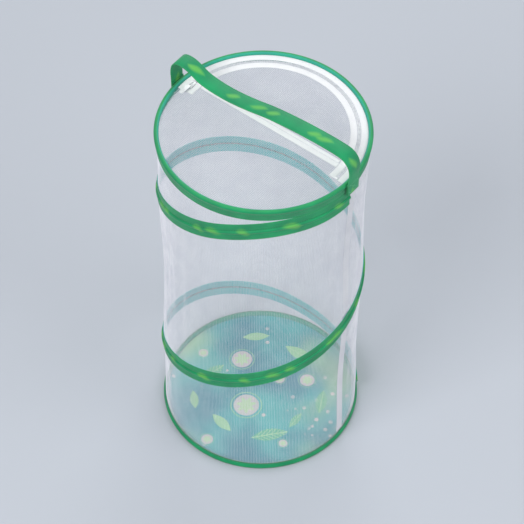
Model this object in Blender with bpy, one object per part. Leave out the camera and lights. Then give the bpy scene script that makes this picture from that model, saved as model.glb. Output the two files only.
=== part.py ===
# Pop-up insect cage: a net cylinder held open by a sprung wire spiral between two wire hoops,
# with a zipped half-moon flap in its top and a webbing handle over it.
# Metres, +Z up, origin at the middle of the base, front at -Y.
import math

import bmesh
import bpy
from mathutils import Matrix, Vector

# Driving sizes of the cage
CAGE_DIAMETER = 0.305
CAGE_HEIGHT = 0.610
GAP = 0.0003
COLUMN = math.radians(7.5)
FINE_COLUMN = COLUMN / 2
COUNT_SLACK = 0.001
CURVE_STEPS = 12
SHARP_ANGLE = math.radians(35)

# Steel wire and its sleeves
HOOP_WIRE_DIAMETER = 0.003
HOOP_WIRE_SIDES = 8
FERRULE_WALL = 0.0005
FERRULE_LENGTH = 0.022
HOOP_JOINT_GAP = 0.0008
SPIRAL_WIRE_DIAMETER = 0.002
SPIRAL_WIRE_SIDES = 6

# Fabric
TAPE_THICKNESS = 0.0008
NET_THICKNESS = 0.0006
FLOOR_THICKNESS = 0.0008
FLOOR_FLAT_INSET = 0.009
TOP_BINDING_OUTER_HEIGHT = 0.020
TOP_BINDING_INNER_HEIGHT = 0.012
BOTTOM_BINDING_HEIGHT = 0.010
FOLD_FACETS = 7
FOLD_OPEN_ANGLE = math.radians(30)
WALL_WAIST = 0.005
NET_BAR_WIDTH = 0.010
NET_OPENING_ROWS = 9
NET_OPENING_COLUMNS = 3

# Spiral, counted down from the top edge
SPIRAL_START_ANGLE = math.radians(52.5)
SPIRAL_TURN_ANGLE = math.radians(682.5)
SPIRAL_LEVEL_ANGLE = math.radians(30)
SPIRAL_EASE_ANGLE = math.radians(45)
RIBBON_WIDTH = 0.032
CASING_FOOT = 0.0052
CASING_CROWN = 0.0022

# Side seam
SEAM_TAPE_WIDTH = 0.015
SEAM_ANGLE = SPIRAL_START_ANGLE

# Handle, sewn to the rim at the two ends of one diameter
HANDLE_ANGLE = math.radians(52.5)
HANDLE_WIDTH = 0.025
HANDLE_THICKNESS = 0.0015
HANDLE_RISE = 0.048
HANDLE_STEPS = 44
ANCHOR_THICKNESS = 0.0012
HANDLE_PIVOT_DEPTH = 0.010
HANDLE_END_STEPS = 4

# Flap and zip
FOLD_OFFSET = 0.016
FOLD_TAPE_WIDTH = 0.008
ZIP_TAPE_WIDTH = 0.0095
COIL_WIDTH = 0.0016
COIL_HEIGHT = 0.0024
COIL_SPACING = 0.0016
ZIP_END_LENGTH = 0.026
STOP_LENGTH = 0.003
STOP_HEIGHT = 0.003

# Slider and pull
SLIDER_LENGTH = 0.013
SLIDER_WIDTH = 0.010
SLIDER_TAIL_WIDTH = 0.0074
SLIDER_PLATE = 0.0012
SLIDER_FLANGE = 0.0012
SLIDER_CLEARANCE = 0.0004
SLIDER_POST_WIDTH = 0.0006
SLIDER_POST_LENGTH = 0.003
BAIL_LENGTH = 0.007
BAIL_WIDTH = 0.0016
BAIL_HEIGHT = 0.0032
BAIL_THICKNESS = 0.001
PULL_LENGTH = 0.023
PULL_WIDTH = 0.0068
PULL_THICKNESS = 0.0012
PULL_BAR = 0.0012
PULL_WINDOW_LENGTH = 0.0026
PULL_WINDOW_WIDTH = 0.003
PULL_PIVOT_FORWARD = 0.0012
CUT_OVERRUN = 0.002

# Sizes that follow from the ones above
WIRE_RADIUS = HOOP_WIRE_DIAMETER / 2
SPIRAL_WIRE_RADIUS = SPIRAL_WIRE_DIAMETER / 2
FERRULE_RADIUS = WIRE_RADIUS + GAP + FERRULE_WALL
FOLD_HALF_FACET = (math.pi + 2 * FOLD_OPEN_ANGLE) / FOLD_FACETS / 2
FOLD_INNER = (FERRULE_RADIUS + GAP) / math.cos(FOLD_HALF_FACET)
FOLD_OUTER = FOLD_INNER + TAPE_THICKNESS / math.cos(FOLD_HALF_FACET)
HOOP_RADIUS = CAGE_DIAMETER / 2 - FOLD_OUTER
BOTTOM_WIRE_Z = FOLD_OUTER * math.cos(FOLD_HALF_FACET)
TOP_WIRE_Z = CAGE_HEIGHT - BOTTOM_WIRE_Z
WALL_HALF = NET_THICKNESS / 2
WALL_BOTTOM = BOTTOM_WIRE_Z + FERRULE_RADIUS + GAP
WALL_TOP = TOP_WIRE_Z - FERRULE_RADIUS - GAP
SPIRAL_TOP_Z = CAGE_HEIGHT - TOP_BINDING_OUTER_HEIGHT - GAP - RIBBON_WIDTH / 2
SPIRAL_BOTTOM_Z = BOTTOM_BINDING_HEIGHT + GAP + RIBBON_WIDTH / 2
SPIRAL_STEPS = round(SPIRAL_TURN_ANGLE / COLUMN)
SPIRAL_FALL_ANGLE = SPIRAL_TURN_ANGLE - 2 * SPIRAL_LEVEL_ANGLE
SPIRAL_SLOPE = (SPIRAL_TOP_Z - SPIRAL_BOTTOM_Z) / (SPIRAL_FALL_ANGLE - SPIRAL_EASE_ANGLE)
SPIRAL_PITCH = SPIRAL_SLOPE * 2 * math.pi

# The flat top lies level with the hoop's wire, inside the binding's fold
TOP_Z = TOP_WIRE_Z
PANEL_RADIUS = (HOOP_RADIUS - FOLD_OUTER) * math.cos(COLUMN / 2) - GAP
TAPE_TOP = TOP_Z + TAPE_THICKNESS / 2
TAPE_BOTTOM = TOP_Z - TAPE_THICKNESS / 2
NET_TOP = TAPE_BOTTOM - GAP
NET_BOTTOM = NET_TOP - NET_THICKNESS
OUTER_TAPE_EDGE = PANEL_RADIUS - ZIP_TAPE_WIDTH
OUTER_COIL_EDGE = OUTER_TAPE_EDGE - GAP - COIL_WIDTH
CHAIN_RADIUS = OUTER_COIL_EDGE - COIL_SPACING / 2
INNER_COIL_EDGE = CHAIN_RADIUS - COIL_SPACING / 2
INNER_TAPE_OUTER = INNER_COIL_EDGE - COIL_WIDTH - GAP
INNER_TAPE_INNER = INNER_TAPE_OUTER - ZIP_TAPE_WIDTH
FLAP_RADIUS = CHAIN_RADIUS - SLIDER_WIDTH / 2 - 2 * SLIDER_CLEARANCE
COIL_TOP = TOP_Z + COIL_HEIGHT / 2
COIL_BOTTOM = TOP_Z - COIL_HEIGHT / 2
FLAP_AXIS_Z = COIL_TOP

# Directions in the top plane: along the handle, and across it towards the flap
HANDLE_LINE = Vector((math.sin(HANDLE_ANGLE), -math.cos(HANDLE_ANGLE), 0))
FLAP_SIDE = Vector((math.cos(HANDLE_ANGLE), math.sin(HANDLE_ANGLE), 0))
RIGHT_FOLD_ANGLE = HANDLE_ANGLE + math.asin(FOLD_OFFSET / CHAIN_RADIUS)
LEFT_FOLD_ANGLE = HANDLE_ANGLE + math.pi - math.asin(FOLD_OFFSET / CHAIN_RADIUS)
ZIP_END_ANGLE = ZIP_END_LENGTH / CHAIN_RADIUS
RIGHT_ZIP_END = RIGHT_FOLD_ANGLE - ZIP_END_ANGLE
LEFT_ZIP_END = LEFT_FOLD_ANGLE + ZIP_END_ANGLE
STOP_ANGLE = (STOP_LENGTH + GAP) / CHAIN_RADIUS
SLIDER_REST_ANGLE = (LEFT_FOLD_ANGLE + LEFT_ZIP_END - STOP_ANGLE) / 2

# Colours: (red, green, blue), roughness, metallic
GREEN_TAPE = ((0.0, 0.33, 0.12), 0.6, 0.0)
GREEN_WEBBING = ((0.0, 0.38, 0.15), 0.65, 0.0)
WHITE_NET = ((0.83, 0.83, 0.86), 0.8, 0.0)
WHITE_TAPE = ((0.86, 0.87, 0.88), 0.7, 0.0)
WHITE_NYLON = ((0.88, 0.88, 0.88), 0.4, 0.0)
WHITE_METAL = ((0.82, 0.82, 0.82), 0.35, 0.2)
SPRING_STEEL = ((0.45, 0.45, 0.46), 0.3, 1.0)
PRINTED_FLOOR = ((0.28, 0.62, 0.68), 0.7, 0.0)


def clear_scene():
    for item in list(bpy.data.objects):
        bpy.data.objects.remove(item, do_unlink=True)


def material(name, finish):
    colour, roughness, metallic = finish
    made = bpy.data.materials.new(name)
    made.use_nodes = True
    shader = made.node_tree.nodes["Principled BSDF"]
    shader.inputs["Base Color"].default_value = (*colour, 1)
    shader.inputs["Roughness"].default_value = roughness
    shader.inputs["Metallic"].default_value = metallic
    return made


def add_object(name, bm, finish, origin=Vector((0, 0, 0)), smooth=True):
    """Makes a named object from a bmesh given in world places, with its origin where it turns."""
    bmesh.ops.recalc_face_normals(bm, faces=bm.faces)
    bmesh.ops.translate(bm, verts=bm.verts, vec=-origin)
    mesh = bpy.data.meshes.new(name)
    bm.to_mesh(mesh)
    bm.free()
    if smooth:
        mesh.shade_smooth()
        mesh.set_sharp_from_angle(angle=SHARP_ANGLE)
    mesh.materials.append(material(name + "_finish", finish))
    made = bpy.data.objects.new(name, mesh)
    made.location = origin
    bpy.context.collection.objects.link(made)
    return made


def polar(angle, radius, z):
    """A point at an angle that counts from the front towards the right."""
    return Vector((radius * math.sin(angle), -radius * math.cos(angle), z))


def loft(bm, rings, closed=False):
    """Skins a row of point loops of equal length; an open row gets end faces."""
    loops = [[bm.verts.new(point) for point in ring] for ring in rings]
    pairs = list(zip(loops, loops[1:]))
    if closed:
        pairs.append((loops[-1], loops[0]))
    else:
        bm.faces.new(loops[0])
        bm.faces.new(loops[-1])
    for near, far in pairs:
        for i in range(len(near)):
            j = (i + 1) % len(near)
            bm.faces.new((near[i], near[j], far[j], far[i]))


def turned(bm, profile, start, end, column):
    """Turns a closed (radius, z) profile about the cage's axis, right round when end is None."""
    if end is None:
        count = round(2 * math.pi / column)
        angles = [start + i * column for i in range(count)]
    else:
        count = max(1, math.ceil((end - start) / column - COUNT_SLACK))
        angles = [start + (end - start) * i / count for i in range(count + 1)]
    rings = [[polar(angle, radius, z) for radius, z in profile] for angle in angles]
    loft(bm, rings, closed=end is None)


def box_profile(inner, outer, bottom, top):
    return [(inner, bottom), (outer, bottom), (outer, top), (inner, top)]


def round_profile(radius, z, size, sides):
    steps = [2 * math.pi * (i + 0.5) / sides for i in range(sides)]
    return [(radius + size * math.cos(a), z + size * math.sin(a)) for a in steps]


def cut_away(bm, point, normal):
    """Cuts off what lies on the normal's side of a plane and closes the cut."""
    everything = bm.verts[:] + bm.edges[:] + bm.faces[:]
    bmesh.ops.bisect_plane(bm, geom=everything, plane_co=point, plane_no=normal, clear_outer=True)
    rim = [edge for edge in bm.edges if edge.is_boundary]
    bmesh.ops.holes_fill(bm, edges=rim, sides=0)


def fold_line_point(side_gap):
    return FLAP_SIDE * (FOLD_OFFSET + side_gap)


def spiral_z(turned_angle):
    """Height of the spiral after a turn from its upper end: level beside each binding."""
    ease = SPIRAL_EASE_ANGLE
    fallen = min(max(turned_angle - SPIRAL_LEVEL_ANGLE, 0), SPIRAL_FALL_ANGLE)
    left = SPIRAL_FALL_ANGLE - fallen
    if fallen < ease:
        run = fallen ** 2 / (2 * ease)
    elif left < ease:
        run = SPIRAL_FALL_ANGLE - ease - left ** 2 / (2 * ease)
    else:
        run = fallen - ease / 2
    return SPIRAL_TOP_Z - SPIRAL_SLOPE * run


def wall_supports(angle):
    """Heights at which the wall is held out at one angle: both bindings and the spiral."""
    heights = [BOTTOM_BINDING_HEIGHT, CAGE_HEIGHT - TOP_BINDING_OUTER_HEIGHT]
    turn = (SPIRAL_START_ANGLE - angle) % (2 * math.pi)
    while turn <= SPIRAL_TURN_ANGLE + COLUMN / 4:
        heights.append(spiral_z(min(turn, SPIRAL_TURN_ANGLE)))
        turn += 2 * math.pi
    return sorted(heights)


def wall_radius(angle, z):
    """Middle of the net: drawn in a little between the places that hold it out."""
    supports = wall_supports(angle)
    for low, high in zip(supports, supports[1:]):
        if low < z < high:
            span = high - low
            share = (1 - math.cos(2 * math.pi * (z - low) / span)) / 2
            return HOOP_RADIUS - WALL_WAIST * share * min(1, span / SPIRAL_PITCH) ** 2
    return HOOP_RADIUS


def folded_tape_profile(wire_z, up, outer_height, inner_height, edge_z):
    """Tape folded round a hoop's wire; its two legs draw together on the net."""
    mouth = WALL_HALF + GAP
    sweep = math.pi + 2 * FOLD_OPEN_ANGLE
    turns = [FOLD_OPEN_ANGLE - sweep * i / FOLD_FACETS for i in range(FOLD_FACETS + 1)]
    neck = FOLD_OUTER + TAPE_THICKNESS

    def side(size, leg):
        outer = [(leg, edge_z + up * outer_height), (leg, wire_z + up * neck)]
        arc = [(size * math.cos(a), wire_z + up * size * math.sin(a)) for a in turns]
        inner = [(-leg, wire_z + up * neck), (-leg, edge_z + up * inner_height)]
        return outer + arc + inner

    points = side(FOLD_OUTER, mouth + TAPE_THICKNESS) + side(FOLD_INNER, mouth)[::-1]
    return [(HOOP_RADIUS + r, z) for r, z in points]


def build_hoop(prefix, wire_z, joint_angle):
    half_joint = HOOP_JOINT_GAP / HOOP_RADIUS / 2
    half_sleeve = FERRULE_LENGTH / HOOP_RADIUS / 2
    steps = round(2 * math.pi / COLUMN)
    profile = round_profile(HOOP_RADIUS, wire_z, WIRE_RADIUS, HOOP_WIRE_SIDES)
    angles = [joint_angle + half_joint]
    angles += [joint_angle + i * COLUMN for i in range(1, steps)]
    angles += [joint_angle + 2 * math.pi - half_joint]
    bm = bmesh.new()
    loft(bm, [[polar(a, r, z) for r, z in profile] for a in angles])
    add_object(prefix + "_hoop_wire", bm, SPRING_STEEL)

    inner = round_profile(HOOP_RADIUS, wire_z, WIRE_RADIUS + GAP, HOOP_WIRE_SIDES)
    outer = round_profile(HOOP_RADIUS, wire_z, FERRULE_RADIUS, HOOP_WIRE_SIDES)

    def sleeve_ring(angle):
        return [polar(joint_angle + angle, r, z) for r, z in outer + inner]

    def sleeve_end(side):
        share = (half_sleeve - half_joint) / (COLUMN - half_joint)
        near, far = sleeve_ring(side * half_joint), sleeve_ring(side * COLUMN)
        return [a.lerp(b, share) for a, b in zip(near, far)]

    bm = bmesh.new()
    walls = []
    for ring in (sleeve_end(-1), sleeve_ring(-half_joint), sleeve_ring(half_joint), sleeve_end(1)):
        walls.append([bm.verts.new(point) for point in ring])
    sides = HOOP_WIRE_SIDES
    for near, far in zip(walls, walls[1:]):
        for first in (0, sides):
            for i in range(sides):
                a, b = first + i, first + (i + 1) % sides
                bm.faces.new((near[a], near[b], far[b], far[a]))
    for end in (walls[0], walls[-1]):
        for i in range(sides):
            j = (i + 1) % sides
            bm.faces.new((end[i], end[j], end[sides + j], end[sides + i]))
    add_object(prefix + "_hoop_ferrule", bm, SPRING_STEEL)


def build_bindings():
    bm = bmesh.new()
    profile = folded_tape_profile(BOTTOM_WIRE_Z, 1, BOTTOM_BINDING_HEIGHT, BOTTOM_BINDING_HEIGHT, 0)
    turned(bm, profile, 0, None, COLUMN)
    add_object("bottom_binding", bm, GREEN_TAPE)
    bm = bmesh.new()
    profile = folded_tape_profile(
        TOP_WIRE_Z, -1, TOP_BINDING_OUTER_HEIGHT, TOP_BINDING_INNER_HEIGHT, CAGE_HEIGHT
    )
    turned(bm, profile, 0, None, COLUMN)
    add_object("top_binding", bm, GREEN_TAPE)


def build_floor():
    """A dished disc: flat on the table, its edge lifted to the hoop inside the binding."""
    flat = PANEL_RADIUS - FLOOR_FLAT_INSET
    count = round(2 * math.pi / COLUMN)
    edge = BOTTOM_WIRE_Z - FLOOR_THICKNESS / 2
    rings = [
        (flat, 0),
        (PANEL_RADIUS, edge),
        (PANEL_RADIUS, edge + FLOOR_THICKNESS),
        (flat, FLOOR_THICKNESS),
    ]
    bm = bmesh.new()
    loft(bm, [[polar(i * COLUMN, r, z) for i in range(count)] for r, z in rings])
    add_object("floor_panel", bm, PRINTED_FLOOR)


def wall_column(near, far, share):
    """A line up the wall, a share of the way along the flat between two of its columns."""
    def place(z, offset):
        start = polar(near, wall_radius(near, z) + offset, z)
        return start.lerp(polar(far, wall_radius(far, z) + offset, z), share)
    return place


def wall_levels():
    """Heights where the net's level bars start and end, with a band inside each binding."""
    low, high = BOTTOM_BINDING_HEIGHT, CAGE_HEIGHT - TOP_BINDING_OUTER_HEIGHT
    levels = [WALL_BOTTOM]
    for i in range(NET_OPENING_ROWS + 1):
        middle = low + (high - low) * i / NET_OPENING_ROWS
        levels += [middle - NET_BAR_WIDTH / 2, middle + NET_BAR_WIDTH / 2]
    return [WALL_BOTTOM] + levels[2:-1] + [WALL_TOP]


def build_wall():
    """The net as a plain grid: upright and level bars, with an opening in each cell."""
    flat = 2 * HOOP_RADIUS * math.sin(COLUMN / 2)
    share = NET_BAR_WIDTH / 2 / flat
    columns = []
    for i in range(0, round(2 * math.pi / COLUMN), NET_OPENING_COLUMNS):
        middle = i * COLUMN
        columns += [wall_column(middle, middle + side * COLUMN, share) for side in (-1, 0, 1)]
        columns += [wall_column(middle + k * COLUMN, middle, 0) for k in range(1, NET_OPENING_COLUMNS)]
    levels = wall_levels()
    bm = bmesh.new()
    outer = [[bm.verts.new(place(z, WALL_HALF)) for z in levels] for place in columns]
    inner = [[bm.verts.new(place(z, -WALL_HALF)) for z in levels] for place in columns]
    wide, tall = len(columns), len(levels) - 1

    def is_open(c, r):
        return r % 2 == 1 and c % (NET_OPENING_COLUMNS + 2) > 1

    def rim(c, r, d, s):
        bm.faces.new((outer[c][r], outer[d][s], inner[d][s], inner[c][r]))

    for c in range(wide):
        d = (c + 1) % wide
        rim(c, 0, d, 0)
        rim(c, tall, d, tall)
        for r in range(tall):
            if is_open(c, r):
                rim(c, r, d, r)
                rim(c, r + 1, d, r + 1)
                continue
            for side in (outer, inner):
                bm.faces.new((side[c][r], side[d][r], side[d][r + 1], side[c][r + 1]))
            if is_open(d, r):
                rim(d, r, d, r + 1)
            if is_open((c - 1) % wide, r):
                rim(c, r, c, r + 1)
    add_object("wall_mesh", bm, WHITE_NET)
    return levels


def build_seam(heights):
    """Flat tape inside the wall, on the flat between two of its columns."""
    low = BOTTOM_BINDING_HEIGHT + GAP
    high = CAGE_HEIGHT - TOP_BINDING_INNER_HEIGHT - GAP
    levels = [low] + [z for z in heights if low < z < high] + [high]
    rings = []
    for z in levels:
        ends = [SEAM_ANGLE, SEAM_ANGLE + COLUMN]
        left, right = [polar(a, wall_radius(a, z) - WALL_HALF, z) for a in ends]
        middle = (left + right) / 2
        along = (right - left).normalized() * SEAM_TAPE_WIDTH / 2
        inward = Vector((-middle.x, -middle.y, 0)).normalized()
        near = inward * 2 * GAP
        far = inward * (2 * GAP + TAPE_THICKNESS)
        rings.append(
            [middle - along + near, middle + along + near, middle + along + far, middle - along + far]
        )
    bm = bmesh.new()
    loft(bm, rings)
    add_object("side_seam_tape", bm, WHITE_TAPE)


def spiral_places():
    """Angle, wall radius and height at each step down the spiral."""
    places = []
    for i in range(SPIRAL_STEPS + 1):
        turn = SPIRAL_TURN_ANGLE * i / SPIRAL_STEPS
        angle = SPIRAL_START_ANGLE - turn
        z = spiral_z(turn)
        places.append((angle, wall_radius(angle, z) + WALL_HALF, z))
    return places


def build_spiral():
    places = spiral_places()
    wire_out = GAP + SPIRAL_WIRE_RADIUS
    rings = []
    for angle, wall, z in places:
        profile = round_profile(wall + wire_out, z, SPIRAL_WIRE_RADIUS, SPIRAL_WIRE_SIDES)
        rings.append([polar(angle, r, height) for r, height in profile])
    bm = bmesh.new()
    loft(bm, rings)
    add_object("spiral_wire", bm, SPRING_STEEL)

    crown_out = 2 * GAP + SPIRAL_WIRE_DIAMETER
    half = RIBBON_WIDTH / 2
    foot = CASING_FOOT / 2
    crown = CASING_CROWN / 2
    inner = [(GAP, -half), (GAP, -foot), (crown_out, -crown)]
    inner += [(r, -z) for r, z in reversed(inner)]
    thick = TAPE_THICKNESS
    outer = [(GAP + thick, half), (GAP + thick, foot + thick), (crown_out + thick, crown + thick)]
    outer += [(r, -z) for r, z in reversed(outer)]
    rings = []
    for angle, wall, z in places:
        rings.append([polar(angle, wall + r, z + height) for r, height in inner + outer])
    bm = bmesh.new()
    loft(bm, rings)
    add_object("spiral_ribbon", bm, GREEN_TAPE)

    points = [polar(a, wall + wire_out, z) for a, wall, z in places]
    turn_steps = round(2 * math.pi / COLUMN)
    apart = [
        (points[i] - points[j]).length
        for i in range(len(points))
        for j in range(i + turn_steps // 2, len(points))
    ]
    print("spiral wire: least gap to itself", round(min(apart) - SPIRAL_WIRE_DIAMETER, 4), "m")


def arc_points(radius, start, end, column):
    count = max(1, math.ceil(abs(end - start) / column - COUNT_SLACK))
    return [(radius, start + (end - start) * i / count) for i in range(count + 1)]


def plate(bm, points, bottom, top):
    """An outline of (x, y) points made into a plate between two heights."""
    low = [Vector((x, y, bottom)) for x, y in points]
    high = [Vector((x, y, top)) for x, y in points]
    loft(bm, [low, high])


def polar_outline(pairs):
    return [(radius * math.sin(angle), -radius * math.cos(angle)) for radius, angle in pairs]


def fold_angles(radius, side_gap):
    """Angles at which a circle meets the fold line, right one first."""
    lean = math.asin((FOLD_OFFSET + side_gap) / radius)
    return HANDLE_ANGLE + lean, HANDLE_ANGLE + math.pi - lean


def build_top_panels():
    right_fold, left_fold = fold_angles(FLAP_RADIUS, -GAP)
    rim_start = RIGHT_ZIP_END - GAP / CHAIN_RADIUS
    rim_end = LEFT_ZIP_END + GAP / CHAIN_RADIUS - 2 * math.pi
    outline = arc_points(PANEL_RADIUS, rim_start, rim_end, COLUMN)
    outline += arc_points(FLAP_RADIUS, LEFT_ZIP_END - 2 * math.pi, left_fold - 2 * math.pi, COLUMN)
    outline += arc_points(FLAP_RADIUS, right_fold, RIGHT_ZIP_END, COLUMN)
    bm = bmesh.new()
    plate(bm, polar_outline(outline), NET_BOTTOM, NET_TOP)
    add_object("top_panel", bm, WHITE_NET)

    right_fold, left_fold = fold_angles(FLAP_RADIUS, GAP)
    bm = bmesh.new()
    outline = polar_outline(arc_points(FLAP_RADIUS, right_fold, left_fold, COLUMN))
    plate(bm, outline, NET_BOTTOM, NET_TOP)
    axis_point = fold_line_point(0) + Vector((0, 0, FLAP_AXIS_Z))
    add_object("flap_panel", bm, WHITE_NET, origin=axis_point)

    inner = FOLD_OFFSET - GAP - FOLD_TAPE_WIDTH
    half = math.sqrt((INNER_TAPE_INNER - GAP) ** 2 - FOLD_OFFSET ** 2)
    corners = [(-half, inner), (half, inner), (half, FOLD_OFFSET - GAP), (-half, FOLD_OFFSET - GAP)]
    spots = [HANDLE_LINE * along + FLAP_SIDE * across for along, across in corners]
    bm = bmesh.new()
    plate(bm, [(spot.x, spot.y) for spot in spots], NET_TOP + GAP, NET_TOP + GAP + TAPE_THICKNESS)
    add_object("fold_tape", bm, WHITE_TAPE)


def zip_end_piece(name, inner, outer, bottom, top, short, finish):
    """The short arcs of the inner half on the fixed side, from the fold line to the zip's ends."""
    for side, start, end in (
        ("_right", RIGHT_ZIP_END + short, RIGHT_FOLD_ANGLE + COLUMN),
        ("_left", LEFT_FOLD_ANGLE - COLUMN, LEFT_ZIP_END - short),
    ):
        bm = bmesh.new()
        turned(bm, box_profile(inner, outer, bottom, top), start, end, FINE_COLUMN)
        cut_away(bm, fold_line_point(-GAP), FLAP_SIDE)
        add_object(name + side, bm, finish)


def build_zip():
    bm = bmesh.new()
    tape = box_profile(OUTER_TAPE_EDGE, PANEL_RADIUS, TAPE_BOTTOM, TAPE_TOP)
    turned(bm, tape, RIGHT_ZIP_END, LEFT_ZIP_END, FINE_COLUMN)
    add_object("zipper_tape_outer", bm, WHITE_TAPE)

    bm = bmesh.new()
    outer_end = OUTER_COIL_EDGE + COIL_WIDTH
    coil = box_profile(OUTER_COIL_EDGE, outer_end, COIL_BOTTOM, COIL_TOP)
    turned(bm, coil, RIGHT_ZIP_END + STOP_ANGLE, LEFT_ZIP_END - STOP_ANGLE, FINE_COLUMN)
    add_object("zipper_coil_outer", bm, WHITE_NYLON)

    axis_point = fold_line_point(0) + Vector((0, 0, FLAP_AXIS_Z))
    start = RIGHT_FOLD_ANGLE - COLUMN
    end = LEFT_FOLD_ANGLE + COLUMN
    bm = bmesh.new()
    tape = box_profile(INNER_TAPE_INNER, INNER_TAPE_OUTER, TAPE_BOTTOM, TAPE_TOP)
    turned(bm, tape, start, end, FINE_COLUMN)
    cut_away(bm, fold_line_point(GAP), -FLAP_SIDE)
    add_object("zipper_tape_inner", bm, WHITE_TAPE, origin=axis_point)

    bm = bmesh.new()
    inner_start = INNER_COIL_EDGE - COIL_WIDTH
    coil = box_profile(inner_start, INNER_COIL_EDGE, COIL_BOTTOM, COIL_TOP)
    turned(bm, coil, start, end, FINE_COLUMN)
    cut_away(bm, fold_line_point(GAP), -FLAP_SIDE)
    add_object("zipper_coil_inner", bm, WHITE_NYLON, origin=axis_point)

    zip_end_piece(
        "zipper_end_tape", INNER_TAPE_INNER, INNER_TAPE_OUTER, TAPE_BOTTOM, TAPE_TOP, 0, WHITE_TAPE
    )
    zip_end_piece(
        "zipper_end_coil", inner_start, INNER_COIL_EDGE, COIL_BOTTOM, COIL_TOP, STOP_ANGLE, WHITE_NYLON
    )

    stop = box_profile(
        INNER_TAPE_OUTER + GAP, OUTER_TAPE_EDGE - GAP, TOP_Z - STOP_HEIGHT / 2, TOP_Z + STOP_HEIGHT / 2
    )
    size = STOP_LENGTH / CHAIN_RADIUS
    for side, start in (("_right", RIGHT_ZIP_END), ("_left", LEFT_ZIP_END - size)):
        bm = bmesh.new()
        turned(bm, stop, start, start + size, FINE_COLUMN)
        add_object("zipper_stop" + side, bm, WHITE_METAL)


def block(bm, low, high):
    """A box between two corners, made from a unit cube."""
    low, high = Vector(low), Vector(high)
    size = high - low
    matrix = Matrix.Translation((low + high) / 2) @ Matrix.Diagonal((*size, 1))
    bmesh.ops.create_cube(bm, size=1, matrix=matrix)


def union(target, pieces):
    """Joins helper solids into an object and removes the helpers."""
    for piece in pieces:
        joined = target.modifiers.new("join", "BOOLEAN")
        joined.operation = "UNION"
        joined.solver = "EXACT"
        joined.object = piece
        piece.hide_render = True
        piece.display_type = "WIRE"


def local_block(name, low, high, place, finish):
    bm = bmesh.new()
    block(bm, low, high)
    made = add_object(name, bm, finish, smooth=False)
    made.matrix_world = place
    return made


def slider_place():
    """The slider's frame: X along the chain towards the stop, Y towards the middle, Z up."""
    angle = SLIDER_REST_ANGLE
    out = polar(angle, 1, 0)
    along = Vector((math.cos(angle), math.sin(angle), 0))
    frame = Matrix((along, -out, Vector((0, 0, 1)))).transposed().to_4x4()
    return Matrix.Translation(out * CHAIN_RADIUS + Vector((0, 0, TOP_Z))) @ frame


def slider_outline():
    half = SLIDER_LENGTH / 2
    wide = SLIDER_WIDTH / 2
    tail = SLIDER_TAIL_WIDTH / 2
    shoulder = half - SLIDER_FLANGE * 2
    return [
        (-half, -tail), (0, -tail), (shoulder, -wide), (half, -wide + SLIDER_FLANGE),
        (half, wide - SLIDER_FLANGE), (shoulder, wide), (0, tail), (-half, tail),
    ]


def build_slider():
    place = slider_place()
    inner_top = COIL_HEIGHT / 2 + SLIDER_CLEARANCE
    top = inner_top + SLIDER_PLATE
    bm = bmesh.new()
    plate(bm, slider_outline(), inner_top, top)
    slider = add_object("zipper_slider", bm, WHITE_METAL, smooth=False)
    slider.matrix_world = place

    bm = bmesh.new()
    plate(bm, slider_outline(), -top, -inner_top)
    lower = add_object("cutter_lower_plate", bm, WHITE_METAL, smooth=False)
    lower.matrix_world = place
    half = SLIDER_LENGTH / 2
    tail = SLIDER_TAIL_WIDTH / 2
    flange_low = TAPE_THICKNESS / 2 + SLIDER_CLEARANCE
    bite = SLIDER_PLATE / 2
    post = SLIDER_POST_LENGTH / 2
    width = SLIDER_POST_WIDTH / 2
    helpers = [lower]
    helpers.append(
        local_block("cutter_post", (-post, -width, -top + bite), (post, width, top - bite), place, WHITE_METAL)
    )
    for side in (-1, 1):
        low = min(side * tail, side * (tail - SLIDER_FLANGE / 2))
        high = max(side * tail, side * (tail - SLIDER_FLANGE / 2))
        for under in (-1, 1):
            levels = sorted((under * flange_low, under * (top - bite)))
            helpers.append(
                local_block(
                    "cutter_flange", (-half + bite, low, levels[0]), (half - bite, high, levels[1]),
                    place, WHITE_METAL,
                )
            )
    reach = BAIL_LENGTH / 2
    bail = BAIL_WIDTH / 2
    crown = top + BAIL_HEIGHT
    for low, high in (
        ((-reach, -bail, top - bite), (-reach + BAIL_THICKNESS, bail, crown)),
        ((reach - BAIL_THICKNESS, -bail, top - bite), (reach, bail, crown)),
        ((-reach + bite, -bail, crown - BAIL_THICKNESS), (reach - bite, bail, crown)),
    ):
        helpers.append(local_block("cutter_bail", low, high, place, WHITE_METAL))
    union(slider, helpers)


def build_pull():
    """A flat tab with a window near one end; the bar beside the window lies under the bail."""
    place = slider_place()
    top = COIL_HEIGHT / 2 + SLIDER_CLEARANCE + SLIDER_PLATE
    axis = Vector((PULL_PIVOT_FORWARD, 0, top + (BAIL_HEIGHT - BAIL_THICKNESS) / 2))
    half = PULL_WIDTH / 2
    taper = PULL_WIDTH / 4
    start = -PULL_BAR / 2
    end = PULL_LENGTH
    outline = [
        (start, -half), (end - taper, -half), (end, -half + taper),
        (end, half - taper), (end - taper, half), (start, half),
    ]
    bm = bmesh.new()
    plate(bm, outline, -PULL_THICKNESS / 2, PULL_THICKNESS / 2)
    pull = add_object("zipper_pull", bm, WHITE_NYLON, smooth=False)
    pull.matrix_world = place @ Matrix.Translation(axis)
    window = PULL_WINDOW_WIDTH / 2
    cutter = local_block(
        "cutter_window",
        (PULL_BAR / 2, -window, -PULL_THICKNESS / 2 - CUT_OVERRUN),
        (PULL_BAR / 2 + PULL_WINDOW_LENGTH, window, PULL_THICKNESS / 2 + CUT_OVERRUN),
        pull.matrix_world, WHITE_NYLON,
    )
    cut = pull.modifiers.new("window", "BOOLEAN")
    cut.operation = "DIFFERENCE"
    cut.solver = "EXACT"
    cut.object = cutter
    cutter.hide_render = True
    cutter.display_type = "WIRE"


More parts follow.
